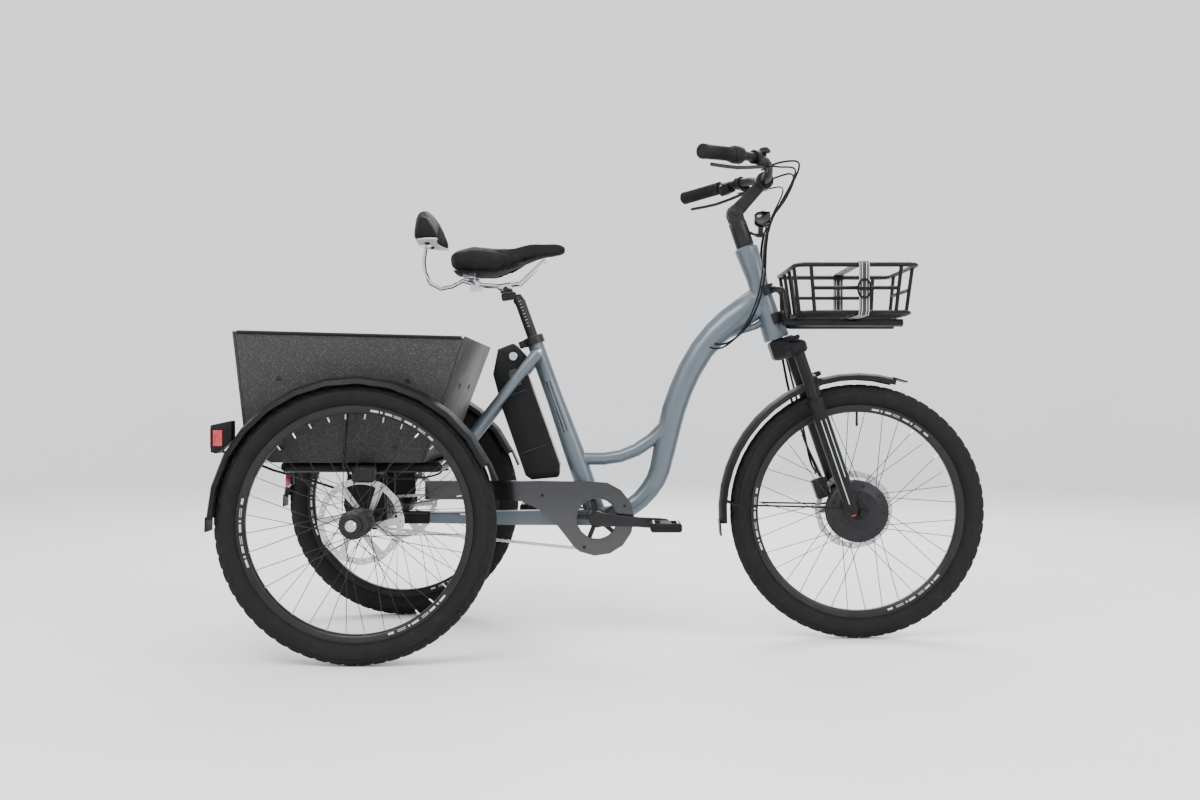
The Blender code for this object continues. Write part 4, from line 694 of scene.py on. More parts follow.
for s, tag in ((-1, "right"), (1, "left")):
    c = P(-BASE, R_WHEEL, s * HALF)
    body = "wheel_" + tag
    nm = "rear_" + tag
    tyre(nm + "_tyre_tread", c, body, nm + "_tyre")
    rim(nm + "_rim_alloy", c, body, nm + "_rim")
    bm = bmesh.new()
    prof = [(0.0092, 0.2765), (0.0185, 0.2765), (0.0188, 0.2775), (0.0188, 0.3080), (0.0200, 0.3090), (0.0305, 0.3094), (0.0312, 0.3102), (0.0312, 0.3118), (0.0305, 0.3126),
            (0.0190, 0.3150), (0.0172, 0.3190), (0.0165, 0.3400), (0.0172, 0.3610), (0.0190, 0.3645), (0.0305, 0.3674), (0.0312, 0.3682), (0.0312, 0.3698), (0.0305, 0.3706),
            (0.0215, 0.3730), (0.0205, 0.3845), (0.0195, 0.3850), (0.0092, 0.3850)]
    lathe(bm, prof, P(-BASE, R_WHEEL), YY * s, 56)
    spokes(bm, c, 0.0272, 0.0290, 58)
    ob = add(nm + "_hub_spokes", bm, "black_alloy", body, smooth=40.0)
    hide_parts(nm + "_hub")
    nipples(nm + "_nipples", c, 0.0272, 0.0290, 58, 0.0, body)
    disc(nm + "_disc", c, s * 0.2790, 0.0970, 0.0200, body, nm + "_rotor")

c = P(0, R_WHEEL)
tyre("front_tyre_tread", c, "front_wheel", "front_tyre")
rim("front_rim_alloy", c, "front_wheel", "front_rim")
bm = bmesh.new()
prof = [(0.0070, -0.0360), (0.0170, -0.0360), (0.0182, -0.0350), (0.0200, -0.0275), (0.0240, -0.0258), (0.0480, -0.0246), (0.0530, -0.0236), (0.0560, -0.0218), (0.0690, -0.0196),
        (0.0738, -0.0178), (0.0745, -0.0168), (0.0745, -0.0142), (0.0722, -0.0120), (0.0716, -0.0060), (0.0716, 0.0060), (0.0722, 0.0120), (0.0745, 0.0142), (0.0745, 0.0168),
        (0.0738, 0.0178), (0.0690, 0.0196), (0.0560, 0.0218), (0.0530, 0.0236), (0.0480, 0.0246), (0.0240, 0.0258), (0.0210, 0.0275), (0.0200, 0.0455), (0.0190, 0.0460), (0.0070, 0.0460)]
lathe(bm, prof, c, YY, 88)
for k in range(9):
    a = math.radians(40 * k + 12)
    p = c + Vector((0.0625 * math.sin(a), -0.0200, 0.0625 * math.cos(a)))
    rod(bm, p, p - YY * 0.0026, 0.0028, 10)
for k in range(24):
    a = math.radians(15 * k)
    d = Vector((math.sin(a), 0, math.cos(a)))
    box(bm, c + d * 0.0370 - YY * 0.0252, (0.016, 0.0016, 0.0016), d, YY, d.cross(YY))
spokes(bm, c, 0.0715, 0.0155, 22)
ob = add("front_motor_spokes", bm, "black_alloy", "front_wheel", smooth=40.0)
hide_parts("front_motor_hub")
nipples("front_nipples", c, 0.0715, 0.0155, 22, 0.0, "front_wheel")
disc("front_disc", c, 0.0410, 0.0955, 0.0225, "front_wheel", "front_rotor")


# ------------------------------------------------------------------ saddle and backrest
def padded_piece(node, name, shrink, cap, voxel=0.005, hold=None):
    """Upholstered form from a node's outline: remeshed, swelled as cloth, smoothed."""
    lo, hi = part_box(node)
    mid = (lo + hi) / 2
    bm = weld_copy(node)
    bmesh.ops.recalc_face_normals(bm, faces=bm.faces)
    size = hi - lo
    for v in bm.verts:
        d = v.co - mid
        v.co = mid + Vector((d.x * (1 - 2 * shrink / size.x), d.y * (1 - 2 * shrink / size.y), d.z * (1 - 1.2 * shrink / size.z)))
    ob = add(name, bm, "saddle_cover", None, smooth=None)
    rm = ob.modifiers.new("remesh", "REMESH")
    rm.mode = "VOXEL"
    rm.voxel_size = voxel
    sm = ob.modifiers.new("round", "SMOOTH")
    sm.factor = 0.6
    sm.iterations = 10

    def apply():
        dg = bpy.context.evaluated_depsgraph_get()
        me = bpy.data.meshes.new_from_object(ob.evaluated_get(dg))
        ob.modifiers.clear()
        old = ob.data
        ob.data = me
        bpy.data.meshes.remove(old)

    apply()
    n = len(ob.data.vertices)
    rest = np.zeros(n * 3, np.float32)
    ob.data.vertices.foreach_get("co", rest)
    rest = rest.reshape(-1, 3)
    cl = ob.modifiers.new("cloth", "CLOTH")
    cl.settings.quality = 4
    cl.settings.mass = 0.2
    cl.settings.use_pressure = True
    cl.settings.uniform_pressure_force = 4.0
    cl.settings.effector_weights.gravity = 0.0
    cl.point_cache.frame_start = 1
    cl.point_cache.frame_end = 20
    sc = bpy.context.scene
    for fr in range(1, 21):
        sc.frame_set(fr)
    dg = bpy.context.evaluated_depsgraph_get()
    me = bpy.data.meshes.new_from_object(ob.evaluated_get(dg))
    co = np.zeros(n * 3, np.float32)
    me.vertices.foreach_get("co", co)
    co = co.reshape(-1, 3)
    d = co - rest
    L = np.linalg.norm(d, axis=1)
    k = np.minimum(1.0, cap / np.maximum(L, 1e-9))[:, None]
    co = rest + d * k
    ob.modifiers.clear()
    bpy.data.meshes.remove(me)
    ob.data.vertices.foreach_set("co", co.astype(np.float32).ravel())
    ob.data.update()
    sc.frame_set(1)
    if hold is not None:
        co = hold(co.copy())
        ob.data.vertices.foreach_set("co", co.astype(np.float32).ravel())
        ob.data.update()
    sb = ob.modifiers.new("fine", "SUBSURF")
    sb.levels = sb.render_levels = 1
    apply()
    ob.data.materials.clear()
    ob.data.materials.append(M["saddle_cover"])
    ob.data.shade_smooth()
    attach(ob, "saddle")
    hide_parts(node)
    return ob


def saddle_shape(co):
    """Sunk relief channel down the middle and seam grooves either side, on the upper surface only."""
    x, y, z = co[:, 0] - X0, co[:, 1], co[:, 2]
    w = np.interp(x, [-0.985, -0.970, -0.925, -0.880, -0.830, -0.770, -0.715, -0.698], [0.070, 0.105, 0.120, 0.105, 0.062, 0.033, 0.024, 0.014])
    zc = np.interp(x, [-0.985, -0.970, -0.925, -0.880, -0.830, -0.770, -0.715, -0.698], [0.908, 0.906, 0.906, 0.905, 0.915, 0.936, 0.945, 0.946])
    up = np.clip((z - zc) / 0.012, 0, 1)
    u = y / np.maximum(w, 0.01)
    along = np.clip((x + 0.965) / 0.03, 0, 1) * np.clip((-0.735 - x) / 0.03, 0, 1)
    z = z - up * along * 0.0050 * np.exp(-(y / 0.011) ** 2)
    for s in (-1, 1):
        z = z - up * along * 0.0022 * np.exp(-((u - s * 0.62) * w / 0.0022) ** 2)
    co[:, 2] = z
    return co


saddle = padded_piece("saddle", "saddle_cover_padded", 0.004, 0.010, 0.0045, saddle_shape)


def pad_shape(co):
    z = co[:, 2]
    co[:, 2] = np.maximum(z, 0.9560)
    return co


backrest = padded_piece("backrest_pad", "backrest_padded", 0.004, 0.010, 0.0045, pad_shape)

# saddle: moulded base rim, springs and rocker; backrest: board with two bolts and a plate
SX = [(-0.9850, 0.9080, 0.0700), (-0.9700, 0.9060, 0.1050), (-0.9250, 0.9060, 0.1200), (-0.8800, 0.9050, 0.1050),
      (-0.8300, 0.9150, 0.0620), (-0.7700, 0.9360, 0.0330), (-0.7150, 0.9450, 0.0240), (-0.6990, 0.9460, 0.0090)]
SH = [0.020, 0.029, 0.033, 0.029, 0.020, 0.018, 0.016, 0.010]
bm = bmesh.new()
fine = spline([P(x, z, w) for x, z, w in SX[1:-1]], 6)
hz = np.interp([p.x for p in fine], [P(x, 0).x for x, z, w in SX], SH)
rows = []
for p, h in zip(fine, hz):
    zz = p.z - h * 0.80 + 0.0015
    rows.append([bm.verts.new((p.x, p.y * a, zz + b)) for a, b in ((-0.84, 0.0), (-0.5, -0.003), (0.0, -0.004), (0.5, -0.003), (0.84, 0.0), (0.5, -0.001), (0.0, -0.001), (-0.5, -0.001))])
for i in range(len(rows) - 1):
    for j in range(8):
        bm.faces.new((rows[i][j], rows[i][(j + 1) % 8], rows[i + 1][(j + 1) % 8], rows[i + 1][j]))
bm.faces.new(rows[0])
bm.faces.new(list(reversed(rows[-1])))
add("saddle_base_shell", bm, "tyre_rubber", "saddle", smooth=50.0)
bm = bmesh.new()                      # twin saddle springs and the rail clamp's rocker
for s in (-1, 1):
    pts = []
    for k in range(6 * 14 + 1):
        a = 2 * math.pi * k / 14
        pts.append(P(-0.9350, 0.8660 + 0.026 * k / 84, s * 0.052) + Vector((0.0135 * math.cos(a), 0.0135 * math.sin(a), 0)))
    tube(bm, pts, 0.0019, 6)
add("saddle_springs", bm, "steel", "saddle")
bm = bmesh.new()
ex = Vector((0.985, 0, 0.17))
ez = Vector((-0.17, 0, 0.985))
box(bm, P(-0.8500, 0.8405), (0.030, 0.026, 0.0046), ex, YY, ez, 0.001)
for s in (-1, 1):
    rod(bm, P(-0.8500, 0.8440, s * 0.0310), P(-0.8500, 0.8440, s * 0.0350), 0.0065, 6)
add("saddle_clamp_rocker", bm, "black_alloy", "saddle")
bm = bmesh.new()
PX = [(-0.124, -1.030, -1.006), (-0.110, -1.052, -1.003), (-0.070, -1.060, -1.012), (0.0, -1.064, -1.018), (0.070, -1.060, -1.012), (0.110, -1.052, -1.003), (0.124, -1.030, -1.006)]
rows = []
for k in range(25):
    y = -0.124 + 0.248 * k / 24
    r = np.interp(y, [p[0] for p in PX], [p[1] for p in PX])
    f = np.interp(y, [p[0] for p in PX], [p[2] for p in PX])
    rows.append([bm.verts.new(P(r, 0.9562, y)), bm.verts.new(P(f, 0.9562, y)), bm.verts.new(P(f, 0.9545, y)), bm.verts.new(P(r, 0.9545, y))])
for i in range(24):
    for j in range(4):
        bm.faces.new((rows[i][j], rows[i][(j + 1) % 4], rows[i + 1][(j + 1) % 4], rows[i + 1][j]))
bm.faces.new(rows[0])
bm.faces.new(list(reversed(rows[-1])))
add("backrest_board", bm, "white_board", "saddle", smooth=30.0)
bm = bmesh.new()
for s in (-1, 1):
    rod(bm, P(-1.0370, 0.9547, s * 0.045), P(-1.0370, 0.9512, s * 0.045), 0.0065, 6)
    rod(bm, P(-1.0370, 0.9512, s * 0.045), P(-1.0370, 0.9490, s * 0.045), 0.0040, 12)
add("backrest_bolts", bm, "black_alloy", "saddle")
bm = bmesh.new()                      # chrome plate between the rails and the pad
box(bm, P(-1.0480, 0.9520), (0.030, 0.040, 0.0030), bev=0.0008)
add("backrest_plate", bm, "chrome", "saddle")

# ------------------------------------------------------------------ drive: links, teeth, lock ring
c0, c1 = Vector(BB), Vector((-BASE, R_WHEEL))
v = c1 - c0
RC, RS = 0.0768, 0.0364
g = math.acos((RC - RS) / v.length)
base_a = math.atan2(v.y, v.x)
hi_a, lo_a = base_a - g, base_a + g
path = []
n = 120
for k in range(n + 1):
    a = hi_a - (2 * math.pi - 2 * g) * k / n
    path.append(Vector((c0.x + RC * math.cos(a), c0.y + RC * math.sin(a))))
for k in range(61):
    a = lo_a + (2 * math.pi - 2 * (math.pi - g)) * 0 - 0 + ( (2 * g - 2 * math.pi) * 0)
    t = k / 60
    a = lo_a + (hi_a - lo_a) * t if False else lo_a - (2 * g) * t
    path.append(Vector((c1.x + RS * math.cos(a), c1.y + RS * math.sin(a))))
path.append(path[0])
acc = [0.0]
for a, b in zip(path, path[1:]):
    acc.append(acc[-1] + (b - a).length)
total = acc[-1]
links = int(round(total / 0.0127))
links += links % 2


def at(s):
    s = s % total
    i = max(0, min(len(path) - 2, int(np.searchsorted(acc, s) - 1)))
    t = (s - acc[i]) / max(1e-9, acc[i + 1] - acc[i])
    return path[i].lerp(path[i + 1], t)


bm = bmesh.new()
pins = [at(total * k / links) for k in range(links)]
for k in range(links):
    a, b = pins[k], pins[(k + 1) % links]
    d = (b - a).normalized()
    e = Vector((-d.y, d.x))
    yo = 0.0034 if k % 2 else 0.0022
    prof = []
    for q, sgn in ((a, -1), (b, 1)):
        for t in (-70, -25, 25, 70):
            r = 0.0040
            ang = math.radians(t)
            prof.append(q + (d * (sgn * math.cos(ang)) + e * (math.sin(ang) * sgn)) * r)
    m = (a + b) / 2
    prof = prof[:4] + [m - e * (-0.0026) * -1] + prof[4:] + [m + e * 0.0026]
    for s in (-1, 1):
        y0, y1 = -0.050 + s * yo, -0.050 + s * (yo + 0.0009)
        v0 = [bm.verts.new(P(p.x, p.y, y0)) for p in prof]
        v1 = [bm.verts.new(P(p.x, p.y, y1)) for p in prof]
        bm.faces.new(v0)
        bm.faces.new(list(reversed(v1)))
        for j in range(len(prof)):
            bm.faces.new((v0[j], v1[j], v1[(j + 1) % len(prof)], v0[(j + 1) % len(prof)]))
    rod(bm, P(a.x, a.y, -0.0546), P(a.x, a.y, -0.0454), 0.0020, 8)
ob = add("chain_links", bm, "steel", "frame", smooth=30.0)
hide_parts("chain")


def toothed(name, centre, y0, y1, teeth, r_root, r_tip, bore, mat_, body, windows=0, win=(0, 0)):
    out = []
    for k in range(teeth):
        for f, r in ((0.0, r_root), (0.18, r_root), (0.38, r_tip), (0.62, r_tip), (0.82, r_root)):
            a = 2 * math.pi * (k + f) / teeth
            out.append((r * math.cos(a), r * math.sin(a)))
    loops = [out, [(bore * math.cos(a), bore * math.sin(a)) for a in (2 * math.pi * k / 40 for k in range(40))]]
    for w in range(windows):
        a0 = 2 * math.pi * w / windows
        lp = [(win[1] * math.cos(a0 + t), win[1] * math.sin(a0 + t)) for t in np.linspace(-0.9, 0.9, 10) * math.pi / windows * 0.62]
        lp += [(win[0] * math.cos(a0 + t), win[0] * math.sin(a0 + t)) for t in np.linspace(0.9, -0.9, 8) * math.pi / windows * 0.50]
        loops.append(lp)
    return plate2d(name, loops, y0, y1, centre, mat_, body)


c = P(-BASE, R_WHEEL)
sp = [toothed("sprocket_small", c, -0.0569, -0.0551, 13, 0.0240, 0.0268, 0.0176, "steel", "cassette"),
      toothed("sprocket_middle", c, -0.0509, -0.0491, 18, 0.0300, 0.0350, 0.0176, "steel", "cassette", 6, (0.0205, 0.0265)),
      toothed("sprocket_large", c, -0.0449, -0.0431, 24, 0.0385, 0.0414, 0.0176, "steel", "cassette", 6, (0.0205, 0.0330))]
bm = bmesh.new()
prof = [(0.0096, -0.0880), (0.0165, -0.0880), (0.0172, -0.0870), (0.0175, -0.0640), (0.0175, -0.0380), (0.0190, -0.0368), (0.0190, -0.0195), (0.0180, -0.0190), (0.0096, -0.0190)]
lathe(bm, prof, c, YY, 48)
for k in range(20):
    a = 2 * math.pi * k / 20
    d = Vector((math.cos(a), 0, math.sin(a)))
    box(bm, c + d * 0.0150 - YY * 0.0885, (0.0030, 0.0014, 0.0016), d, YY, d.cross(YY))
ob = add("sprocket_carrier", bm, "steel", "cassette", smooth=35.0)
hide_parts("cassette")
bm = bmesh.new()                      # guard opening bead and fixing screws
cg = P(BB[0], BB[1])
lathe(bm, [(0.0480, -0.0655), (0.0500, -0.0660), (0.0520, -0.0655), (0.0520, -0.0640), (0.0480, -0.0640)], cg, YY, 72)
add("chain_guard_bead", bm, "gloss_black", "frame")
bm = bmesh.new()
for x, z in ((-0.760, 0.350), (-0.930, 0.362), (BB[0] + 0.066, BB[1] + 0.030), (BB[0] - 0.030, BB[1] - 0.068)):
    rod(bm, P(x, z, -0.0639), P(x, z, -0.0658), 0.0045, 12, 0.0036)
add("chain_guard_screws", bm, "black_alloy", "frame")

# ------------------------------------------------------------------ cables
def cable(name, pts, r=0.0025, body=None, blend=None, sub=6, mat_="black_plastic"):
    bm = bmesh.new()
    tube(bm, spline([P(*q) for q in pts], sub), r, 8)
    if blend:
        ob = add(name, bm, mat_, None)
        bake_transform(ob)
    else:
        ob = add(name, bm, mat_, body)
    return ob


JOIN = (("stem", "steering", (-0.225, 1.060, 0.0), (-0.225, 0.995, 0.0)))
cable("cable_brake_right", [(-0.243, 1.112, -0.152), (-0.205, 1.128, -0.140), (-0.160, 1.138, -0.100), (-0.150, 1.125, -0.060), (-0.170, 1.080, -0.036), (-0.200, 1.030, -0.030), (-0.218, 0.985, -0.030)], 0.0025, blend=JOIN)
cable("cable_brake_left", [(-0.243, 1.112, 0.152), (-0.200, 1.132, 0.138), (-0.152, 1.142, 0.092), (-0.145, 1.120, 0.055), (-0.168, 1.070, 0.036), (-0.200, 1.025, 0.031), (-0.216, 0.985, 0.031)], 0.0025, blend=JOIN)
cable("cable_shift", [(-0.262, 1.116, -0.195), (-0.215, 1.112, -0.175), (-0.168, 1.118, -0.118), (-0.166, 1.096, -0.070), (-0.192, 1.045, -0.040), (-0.222, 0.985, -0.0365)], 0.0022, blend=JOIN)
cable("cable_display", [(-0.270, 1.110, 0.196), (-0.215, 1.112, 0.168), (-0.172, 1.112, 0.110), (-0.172, 1.088, 0.062), (-0.195, 1.040, 0.040), (-0.221, 0.985, 0.0375)], 0.0020, blend=JOIN)
DOWN = ("steering", "fork_lowers", (-0.16, 0.70, 0.0), (-0.12, 0.56, 0.0))
cable("hose_front_brake", [(-0.216, 0.985, 0.031), (-0.218, 0.940, 0.040), (-0.214, 0.880, 0.052), (-0.196, 0.810, 0.070), (-0.178, 0.745, 0.092), (-0.160, 0.690, 0.098), (-0.142, 0.620, 0.0955),
                           (-0.120, 0.527, 0.0930), (-0.100, 0.430, 0.0900), (-0.088, 0.396, 0.0640)], 0.0026, blend=DOWN)
cable("cable_motor", [(-0.221, 0.985, 0.0375), (-0.226, 0.940, 0.047), (-0.222, 0.880, 0.059), (-0.204, 0.810, 0.077), (-0.186, 0.745, 0.099), (-0.168, 0.690, 0.105), (-0.150, 0.600, 0.1015),
                      (-0.120, 0.500, 0.0975), (-0.080, 0.400, 0.0940), (-0.040, 0.335, 0.0900), (-0.014, 0.3120, 0.0850), (-0.004, 0.3085, 0.0780)], 0.0032, blend=DOWN)
BACK = ("steering", "frame", (-0.225, 0.935, 0.0), (-0.250, 0.800, 0.0))
cable("cable_rear_brake", [(-0.218, 0.985, -0.030), (-0.224, 0.940, -0.038), (-0.228, 0.880, -0.047), (-0.242, 0.815, -0.052), (-0.272, 0.752, -0.048), (-0.312, 0.716, -0.034), (-0.345, 0.712, -0.020), (-0.362, 0.726, -0.010)], 0.0025, blend=BACK)
cable("cable_rear_shift", [(-0.222, 0.985, -0.0365), (-0.230, 0.940, -0.045), (-0.235, 0.880, -0.054), (-0.250, 0.812, -0.058), (-0.282, 0.745, -0.053), (-0.322, 0.706, -0.038), (-0.352, 0.702, -0.024), (-0.370, 0.718, -0.012)], 0.0022, blend=BACK)
for s, tag in ((-1, "right"), (1, "left")):
    cable("hose_rear_" + tag, [(-1.1500, 0.4180, s * 0.262), (-1.1200, 0.4080, s * 0.250), (-1.0800, 0.4000, s * 0.225), (-1.0300, 0.3980, s * 0.170), (-1.0050, 0.4020, s * 0.100), (-1.0020, 0.4060, s * 0.050)], 0.0025, body="frame")

# ------------------------------------------------------------------ basket strap and buckle
yb, zb, zt = 0.1712, 0.7722, 0.8975
ring = [(-yb, zb), (-yb, zt), (-0.12, zt + 0.004), (0.0, zt + 0.001), (0.12, zt + 0.004), (yb, zt), (yb, zb)]
lo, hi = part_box("front_basket")
yo = (hi.y - lo.y) / 2 + 0.0012
bm = bmesh.new()
pts = []
top = hi.z + 0.0008
bot = lo.z - 0.0010
for y, z in ((-yo + 0.01, bot), (-yo, bot + 0.01), (-yo, top - 0.006), (-yo + 0.006, top), (0.0, top + 0.0005), (yo - 0.006, top), (yo, top - 0.006), (yo, bot + 0.01), (yo - 0.01, bot)):
    pts.append(Vector((0, y, z)))
lo_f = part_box("front_basket")[0]
n = len(pts)
sect = []
for i in range(n):
    t = (pts[(i + 1) % n] - pts[i - 1]).normalized()
    nn = Vector((0, t.z, -t.y))
    if nn.dot(pts[i] - Vector((0, 0, (top + bot) / 2))) < 0:
        nn = -nn
    a, b = pts[i], pts[i] + nn * 0.0016
    sect.append([bm.verts.new(P(-0.0146 + dx, q.z, q.y)) for q, dx in ((a, -0.0125), (a, 0.0125), (b, 0.0125), (b, -0.0125))])
for i in range(n):
    p, q = sect[i], sect[(i + 1) % n]
    for j in range(4):
        bm.faces.new((p[j], p[(j + 1) % 4], q[(j + 1) % 4], q[j]))
add("basket_strap_elastic", bm, "webbing", "frame", smooth=40.0)
bm = bmesh.new()
oval = [P(-0.0146 + 0.0150 * math.cos(a), 0.8330 + 0.0215 * math.sin(a), -yo - 0.0034) for a in (2 * math.pi * k / 32 for k in range(33))]
tube(bm, oval, 0.0026, 8, cap=False)
bmesh.ops.remove_doubles(bm, verts=bm.verts, dist=1e-5)
box(bm, P(-0.0146, 0.8330, -yo - 0.0036), (0.0270, 0.0034, 0.0070), bev=0.001)
add("basket_strap_buckle", bm, "black_plastic", "frame")

# ------------------------------------------------------------------ small fittings
bm = bmesh.new()                      # box screws, both sides
for s, node in ((-1, "box_side_right"), (1, "box_side_left")):
    for x, z in ((-1.334, 0.6256), (-1.047, 0.6190), (-1.334, 0.4700), (-1.080, 0.4700)):
        p, nrm = hit(node, P(x, z, s * 0.5), (0, -s, 0))
        if p:
            nrm = nrm if nrm.y * s > 0 else -nrm
            rod(bm, p, p + nrm * 0.0022, 0.0060, 16, 0.0040)
add("box_screws", bm, "black_alloy", "frame")
bm = bmesh.new()                      # folded lip along the box's top edges
for s, node in ((-1, "box_side_right"), (1, "box_side_left")):
    lo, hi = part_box(node)
    q = [v.co for v in NODES[node].data.vertices if v.co.z > hi.z - 0.02]
    a = max(q, key=lambda p: -p.x + p.z * 0.2)
    b = max(q, key=lambda p: p.x + p.z * 0.2)
    tube(bm, [a + Vector((0.004, 0, 0.0006)), b + Vector((-0.004, 0, 0.0006))], 0.0036, 8)
add("box_edge_trim", bm, "black_plastic", "frame")

# tail light: smoked housing stays, lens and side lens are separate pieces
lo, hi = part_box("tail_light")
bm = bmesh.new()
for s in (-1,):
    yc = (lo.y + hi.y) / 2
    box(bm, Vector((lo.x - 0.0008, yc, (lo.z + hi.z) / 2 - 0.002)), (0.0040, 0.030, 0.044), bev=0.0012)
add("tail_light_lens", bm, "red_lens", "frame")
bm = bmesh.new()
p, nrm = hit("tail_light", Vector((lo.x + 0.016, -0.5, (lo.z + hi.z) / 2 - 0.002)), (0, 1, 0))
if p:
    box(bm, p + Vector((0.0, -0.0004, 0.0)), (0.020, 0.0020, 0.034), bev=0.0006)
add("tail_light_side_lens", bm, "red_lens", "frame")

# battery: rail strip, seams and charge cover
d = Vector((-0.3375, 0, 0.9413))
bk = Vector((-d.z, 0, d.x))
bm = bmesh.new()
a = P(-0.7230, 0.4200) + bk * -0.0052
box(bm, a + d * 0.115 + bk * 0.0006, (0.0030, 0.012, 0.235), bk, YY, d, 0.0006)
add("battery_rail_strip", bm, "pink_strip", "frame")
bm = bmesh.new()
for s in (-1, 1):
    for k, (t, h) in enumerate(((0.06, 0.0010), (0.20, 0.0010))):
        p0 = P(-0.7560, 0.4050) + d * t
        pts = []
        for i in range(9):
            q = p0 + bk * (-0.024 + 0.062 * i / 8)
            h_, nrm = hit("battery", q + YY * (s * 0.2), (0, -s, 0))
            if h_:
                pts.append(h_ + YY * (s * 0.0001))
        if len(pts) > 2:
            tube(bm, pts, 0.0007, 6)
add("battery_seams", bm, "gloss_black", "battery")
bm = bmesh.new()
q = P(-0.8280, 0.6300)
p, nrm = hit("battery", q - YY * 0.3, (0, 1, 0))
if p:
    box(bm, p, (0.022, 0.0020, 0.040), bk, YY, d, 0.0008)
add("battery_charge_cover", bm, "gloss_black", "battery")

# fork: pale stripes, red caps, lamp lens, screen, buttons, stem ribs
bm = bmesh.new()
for k, (t0, t1, n0) in enumerate(((-0.545, -0.335, 0.0255), (-0.480, -0.335, 0.0370))):
    q = [S(t0, n0 - 0.0009, 0), S(t1, n0 - 0.0009, 0), S(t1, n0 + 0.0011, 0), S(t0, n0 + 0.0011, 0)]
    for s in (-1, 1):
        decal(bm, "fork_lower_legs", q, (0, -s, 0), 24, 2)
add("fork_stripes", bm, "pale_paint", "fork_lowers")
bm = bmesh.new()
for s in (-1, 1):
    p = S(-0.572, 0.030, s * 0.065)
    rod(bm, p, p - U * 0.0040, 0.0085, 20, 0.0065)
add("fork_foot_caps", bm, "red_plastic", "fork_lowers")
lo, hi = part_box("headlight")
bm = bmesh.new()
cl = Vector((hi.x + 0.0004, 0, lo.z + 0.021))
lathe(bm, [(0.0, -0.0010), (0.0155, -0.0010), (0.0165, 0.0), (0.0120, 0.0016), (0.0, 0.0026)], cl, Vector((1, 0, 0)), 40, closed=False)
bmesh.ops.remove_doubles(bm, verts=bm.verts, dist=1e-6)
add("headlight_lens", bm, "lamp_glass", "headlight")
lo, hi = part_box("display_unit")
face = Vector((-0.35, 0, 0.94)).normalized()
cdis = P(-0.2960, 1.1225, 0.2100)
gdir = None
bm = bmesh.new()
ex = Vector((0.94, 0, 0.35)).normalized()
box(bm, cdis + face * 0.0132, (0.0210, 0.0240, 0.0008), ex, YY, face, 0.0002)
add("display_screen", bm, "screen_glass", "stem")
bm = bmesh.new()
for k in range(3):
    rod(bm, cdis + face * 0.0128 - ex * 0.0125 + YY * (0.008 * (k - 1)), cdis + face * 0.0142 - ex * 0.0125 + YY * (0.008 * (k - 1)), 0.0024, 14)
add("display_buttons", bm, "pale_paint", "stem")
bm = bmesh.new()                      # spacer ribs under the stem
for k in range(5):
    lathe(bm, [(0.0195, -0.0012), (0.0212, -0.0008), (0.0212, 0.0008), (0.0195, 0.0012)], S(0.078 + 0.0058 * k), U, 48)
add("headset_spacers", bm, "black_alloy", "steering")
bm = bmesh.new()                      # seatpost height marks
for k in range(9):
    q = P(-0.7855, 0.7277) + d * (0.030 + 0.0080 * k)
    w = 0.0060 if k % 2 == 0 else 0.0036
    decal(bm, "seatpost", [q - bk * w * 0.5 - d * 0.0005, q + bk * w * 0.5 - d * 0.0005, q + bk * w * 0.5 + d * 0.0005, q - bk * w * 0.5 + d * 0.0005], (0, 1, 0), 4, 1, 0.0003)
add("seatpost_marks", bm, "pale_paint", "seatpost")
bm = bmesh.new()                      # frame stripes, plain and generic, near side and far side
for s in (-1, 1):
    for off in (-0.004, 0.004):
        q0 = P(-0.7050, 0.5000) + bk * off
        decal(bm, "main_frame", [q0 - bk * 0.0012, q0 + d * 0.13 - bk * 0.0012, q0 + d * 0.13 + bk * 0.0012, q0 + bk * 0.0012], (0, -s, 0), 30, 1, 0.0003)
add("frame_stripes", bm, "gloss_black", "frame")
bm = bmesh.new()                      # one weld-bead ring on the steering axis, built and then freed without being added
lathe(bm, [(0.0385, -0.0012), (0.0398, 0.0), (0.0385, 0.0012)], S(0.045), U, 40, closed=True)
bm.free()
bm = bmesh.new()                      # rubber knurls on the grips
for s, tag in ((-1, "right"), (1, "left")):
    co = np.array([v.co for v in NODES["grip_" + tag].data.vertices])
    ctr = co.mean(0)
    uu, ss, vv = np.linalg.svd(co - ctr, full_matrices=False)
    ax = Vector(vv[0]).normalized()
    t = (co - ctr) @ np.array(ax)
    t0, t1 = t.min() + 0.012, t.max() - 0.016
    e1 = ax.orthogonal().normalized()
    e2 = ax.cross(e1)
    m = int((t1 - t0) / 0.0052)
    for i in range(m):
        for k in range(14):
            a = 2 * math.pi * (k + 0.5 * (i % 2)) / 14
            dd = e1 * math.cos(a) + e2 * math.sin(a)
            tt = ax.cross(dd)
            c_ = Vector(ctr) + ax * (t0 + (i + 0.5) * 0.0052) + dd * 0.01545
            r4 = [c_ + ax * 0.0024, c_ + tt * 0.0024, c_ - ax * 0.0024, c_ - tt * 0.0024]
            vb = [bm.verts.new(q) for q in r4]
            vt = [bm.verts.new(c_ + (q - c_) * 0.55 + dd * 0.0010) for q in r4]
            bm.faces.new(vt)
            bm.faces.new(list(reversed(vb)))
            for j in range(4):
                bm.faces.new((vb[j], vb[(j + 1) % 4], vt[(j + 1) % 4], vt[j]))
add("grip_knurls", bm, "grip_rubber", "stem", smooth=None)
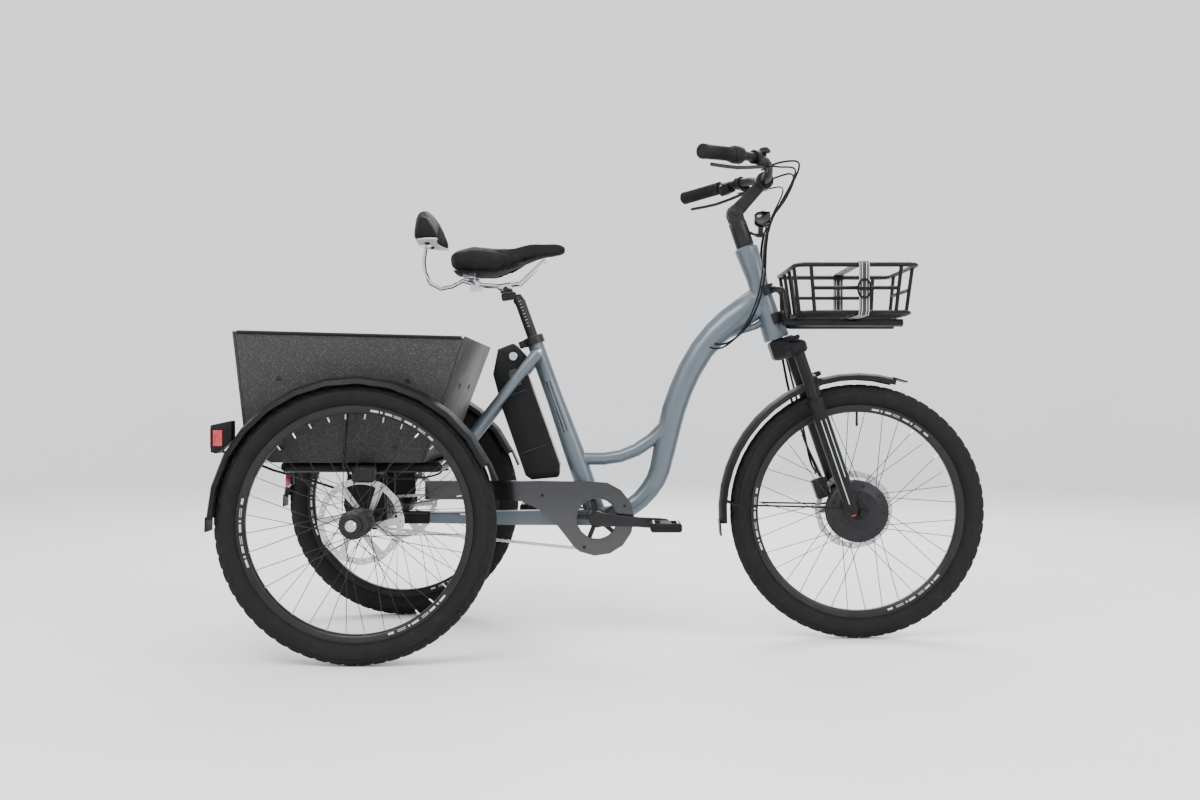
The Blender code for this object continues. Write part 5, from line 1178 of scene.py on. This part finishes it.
for s, tag in ((-1, "right"), (1, "left")):    # pedal cleats
    lo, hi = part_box("pedal_" + tag)
    bm = bmesh.new()
    for zz, sg in ((hi.z, 1), (lo.z, -1)):
        for k in range(5):
            for fx in (0.12, 0.88):
                p = Vector((lo.x + (hi.x - lo.x) * fx, lo.y + (hi.y - lo.y) * (0.22 + 0.13 * k if s > 0 else 0.78 - 0.13 * k), zz))
                rod(bm, p - Vector((0, 0, 0.001 * sg)), p + Vector((0, 0, 0.0016 * sg)), 0.0022, 6, 0.0012)
    add("pedal_studs_" + tag, bm, "steel", "pedal_" + tag)

# ------------------------------------------------------------------ carried-over nodes
NODE_MAT = {"main_frame": "frame_paint", "saddle_rails_backrest_rod": "chrome", "battery_lock": "aluminium", "chain_guard": "gloss_black",
            "headlight": "gloss_black", "rear_reflector": "red_lens", "rear_right_axle": "steel", "rear_left_axle": "steel",
            "stem_arm": "black_alloy", "stem_base": "black_alloy", "seatpost": "black_alloy", "seat_clamp": "black_alloy",
            "crank_left": "black_alloy", "crank_right_chainring": "black_alloy"}


def smooth_by_angle():
    ng = bpy.data.node_groups.new("smooth_by_angle", "GeometryNodeTree")
    ng.interface.new_socket("Geometry", in_out="INPUT", socket_type="NodeSocketGeometry")
    ng.interface.new_socket("Geometry", in_out="OUTPUT", socket_type="NodeSocketGeometry")
    gi, go = ng.nodes.new("NodeGroupInput"), ng.nodes.new("NodeGroupOutput")
    ang = ng.nodes.new("GeometryNodeInputMeshEdgeAngle")
    cmp_ = ng.nodes.new("FunctionNodeCompare")
    cmp_.data_type = "FLOAT"
    cmp_.operation = "LESS_THAN"
    cmp_.inputs[1].default_value = math.radians(41)
    sf = ng.nodes.new("GeometryNodeSetShadeSmooth")
    sf.domain = "FACE"
    se = ng.nodes.new("GeometryNodeSetShadeSmooth")
    se.domain = "EDGE"
    ng.links.new(gi.outputs[0], sf.inputs[0])
    ng.links.new(sf.outputs[0], se.inputs[0])
    ng.links.new(ang.outputs["Unsigned Angle"], cmp_.inputs[0])
    ng.links.new(cmp_.outputs[0], se.inputs["Shade Smooth"])
    ng.links.new(se.outputs[0], go.inputs[0])
    return ng


SMOOTH = smooth_by_angle()
BEVELLED = {"box_front_panel": 0.0012, "box_rear_panel": 0.0012, "box_side_right": 0.0012, "box_side_left": 0.0012, "box_floor": 0.0010,
            "stem_base": 0.0006, "display_unit": 0.0004, "pedal_right": 0.0006, "pedal_left": 0.0006,
            "front_brake_caliper": 0.0008, "rear_brake_caliper_right": 0.0008, "rear_brake_caliper_left": 0.0008, "tail_light": 0.0008}
for n, o in NODES.items():
    key = NODE_MAT.get(n)
    if key is None:
        if n.startswith("box_"):
            key = "box_panel"
        elif n.startswith("grip"):
            key = "grip_rubber"
        elif n in ("saddle", "backrest_pad"):
            key = "saddle_cover"
        elif "brake_lever" in n or "caliper" in n:
            key = "black_alloy"
        elif "mudguard" in n or n in ("display_unit", "twist_shifter", "battery", "fork_lockout_knob", "pedal_right", "pedal_left", "tail_light"):
            key = "black_plastic"
        elif n in ("chain", "cassette"):
            key = "steel"
        else:
            key = "black_paint"
    o.data.materials.clear()
    o.data.materials.append(M[key])
    if not o.hide_render:
        w = o.modifiers.new("weld", "WELD")
        w.merge_threshold = 0.00002
        if n in BEVELLED:
            b = o.modifiers.new("edges", "BEVEL")
            b.width = BEVELLED[n]
            b.segments = 2
            b.limit_method = "ANGLE"
            b.angle_limit = math.radians(50)
        g = o.modifiers.new("smooth", "NODES")
        g.node_group = SMOOTH
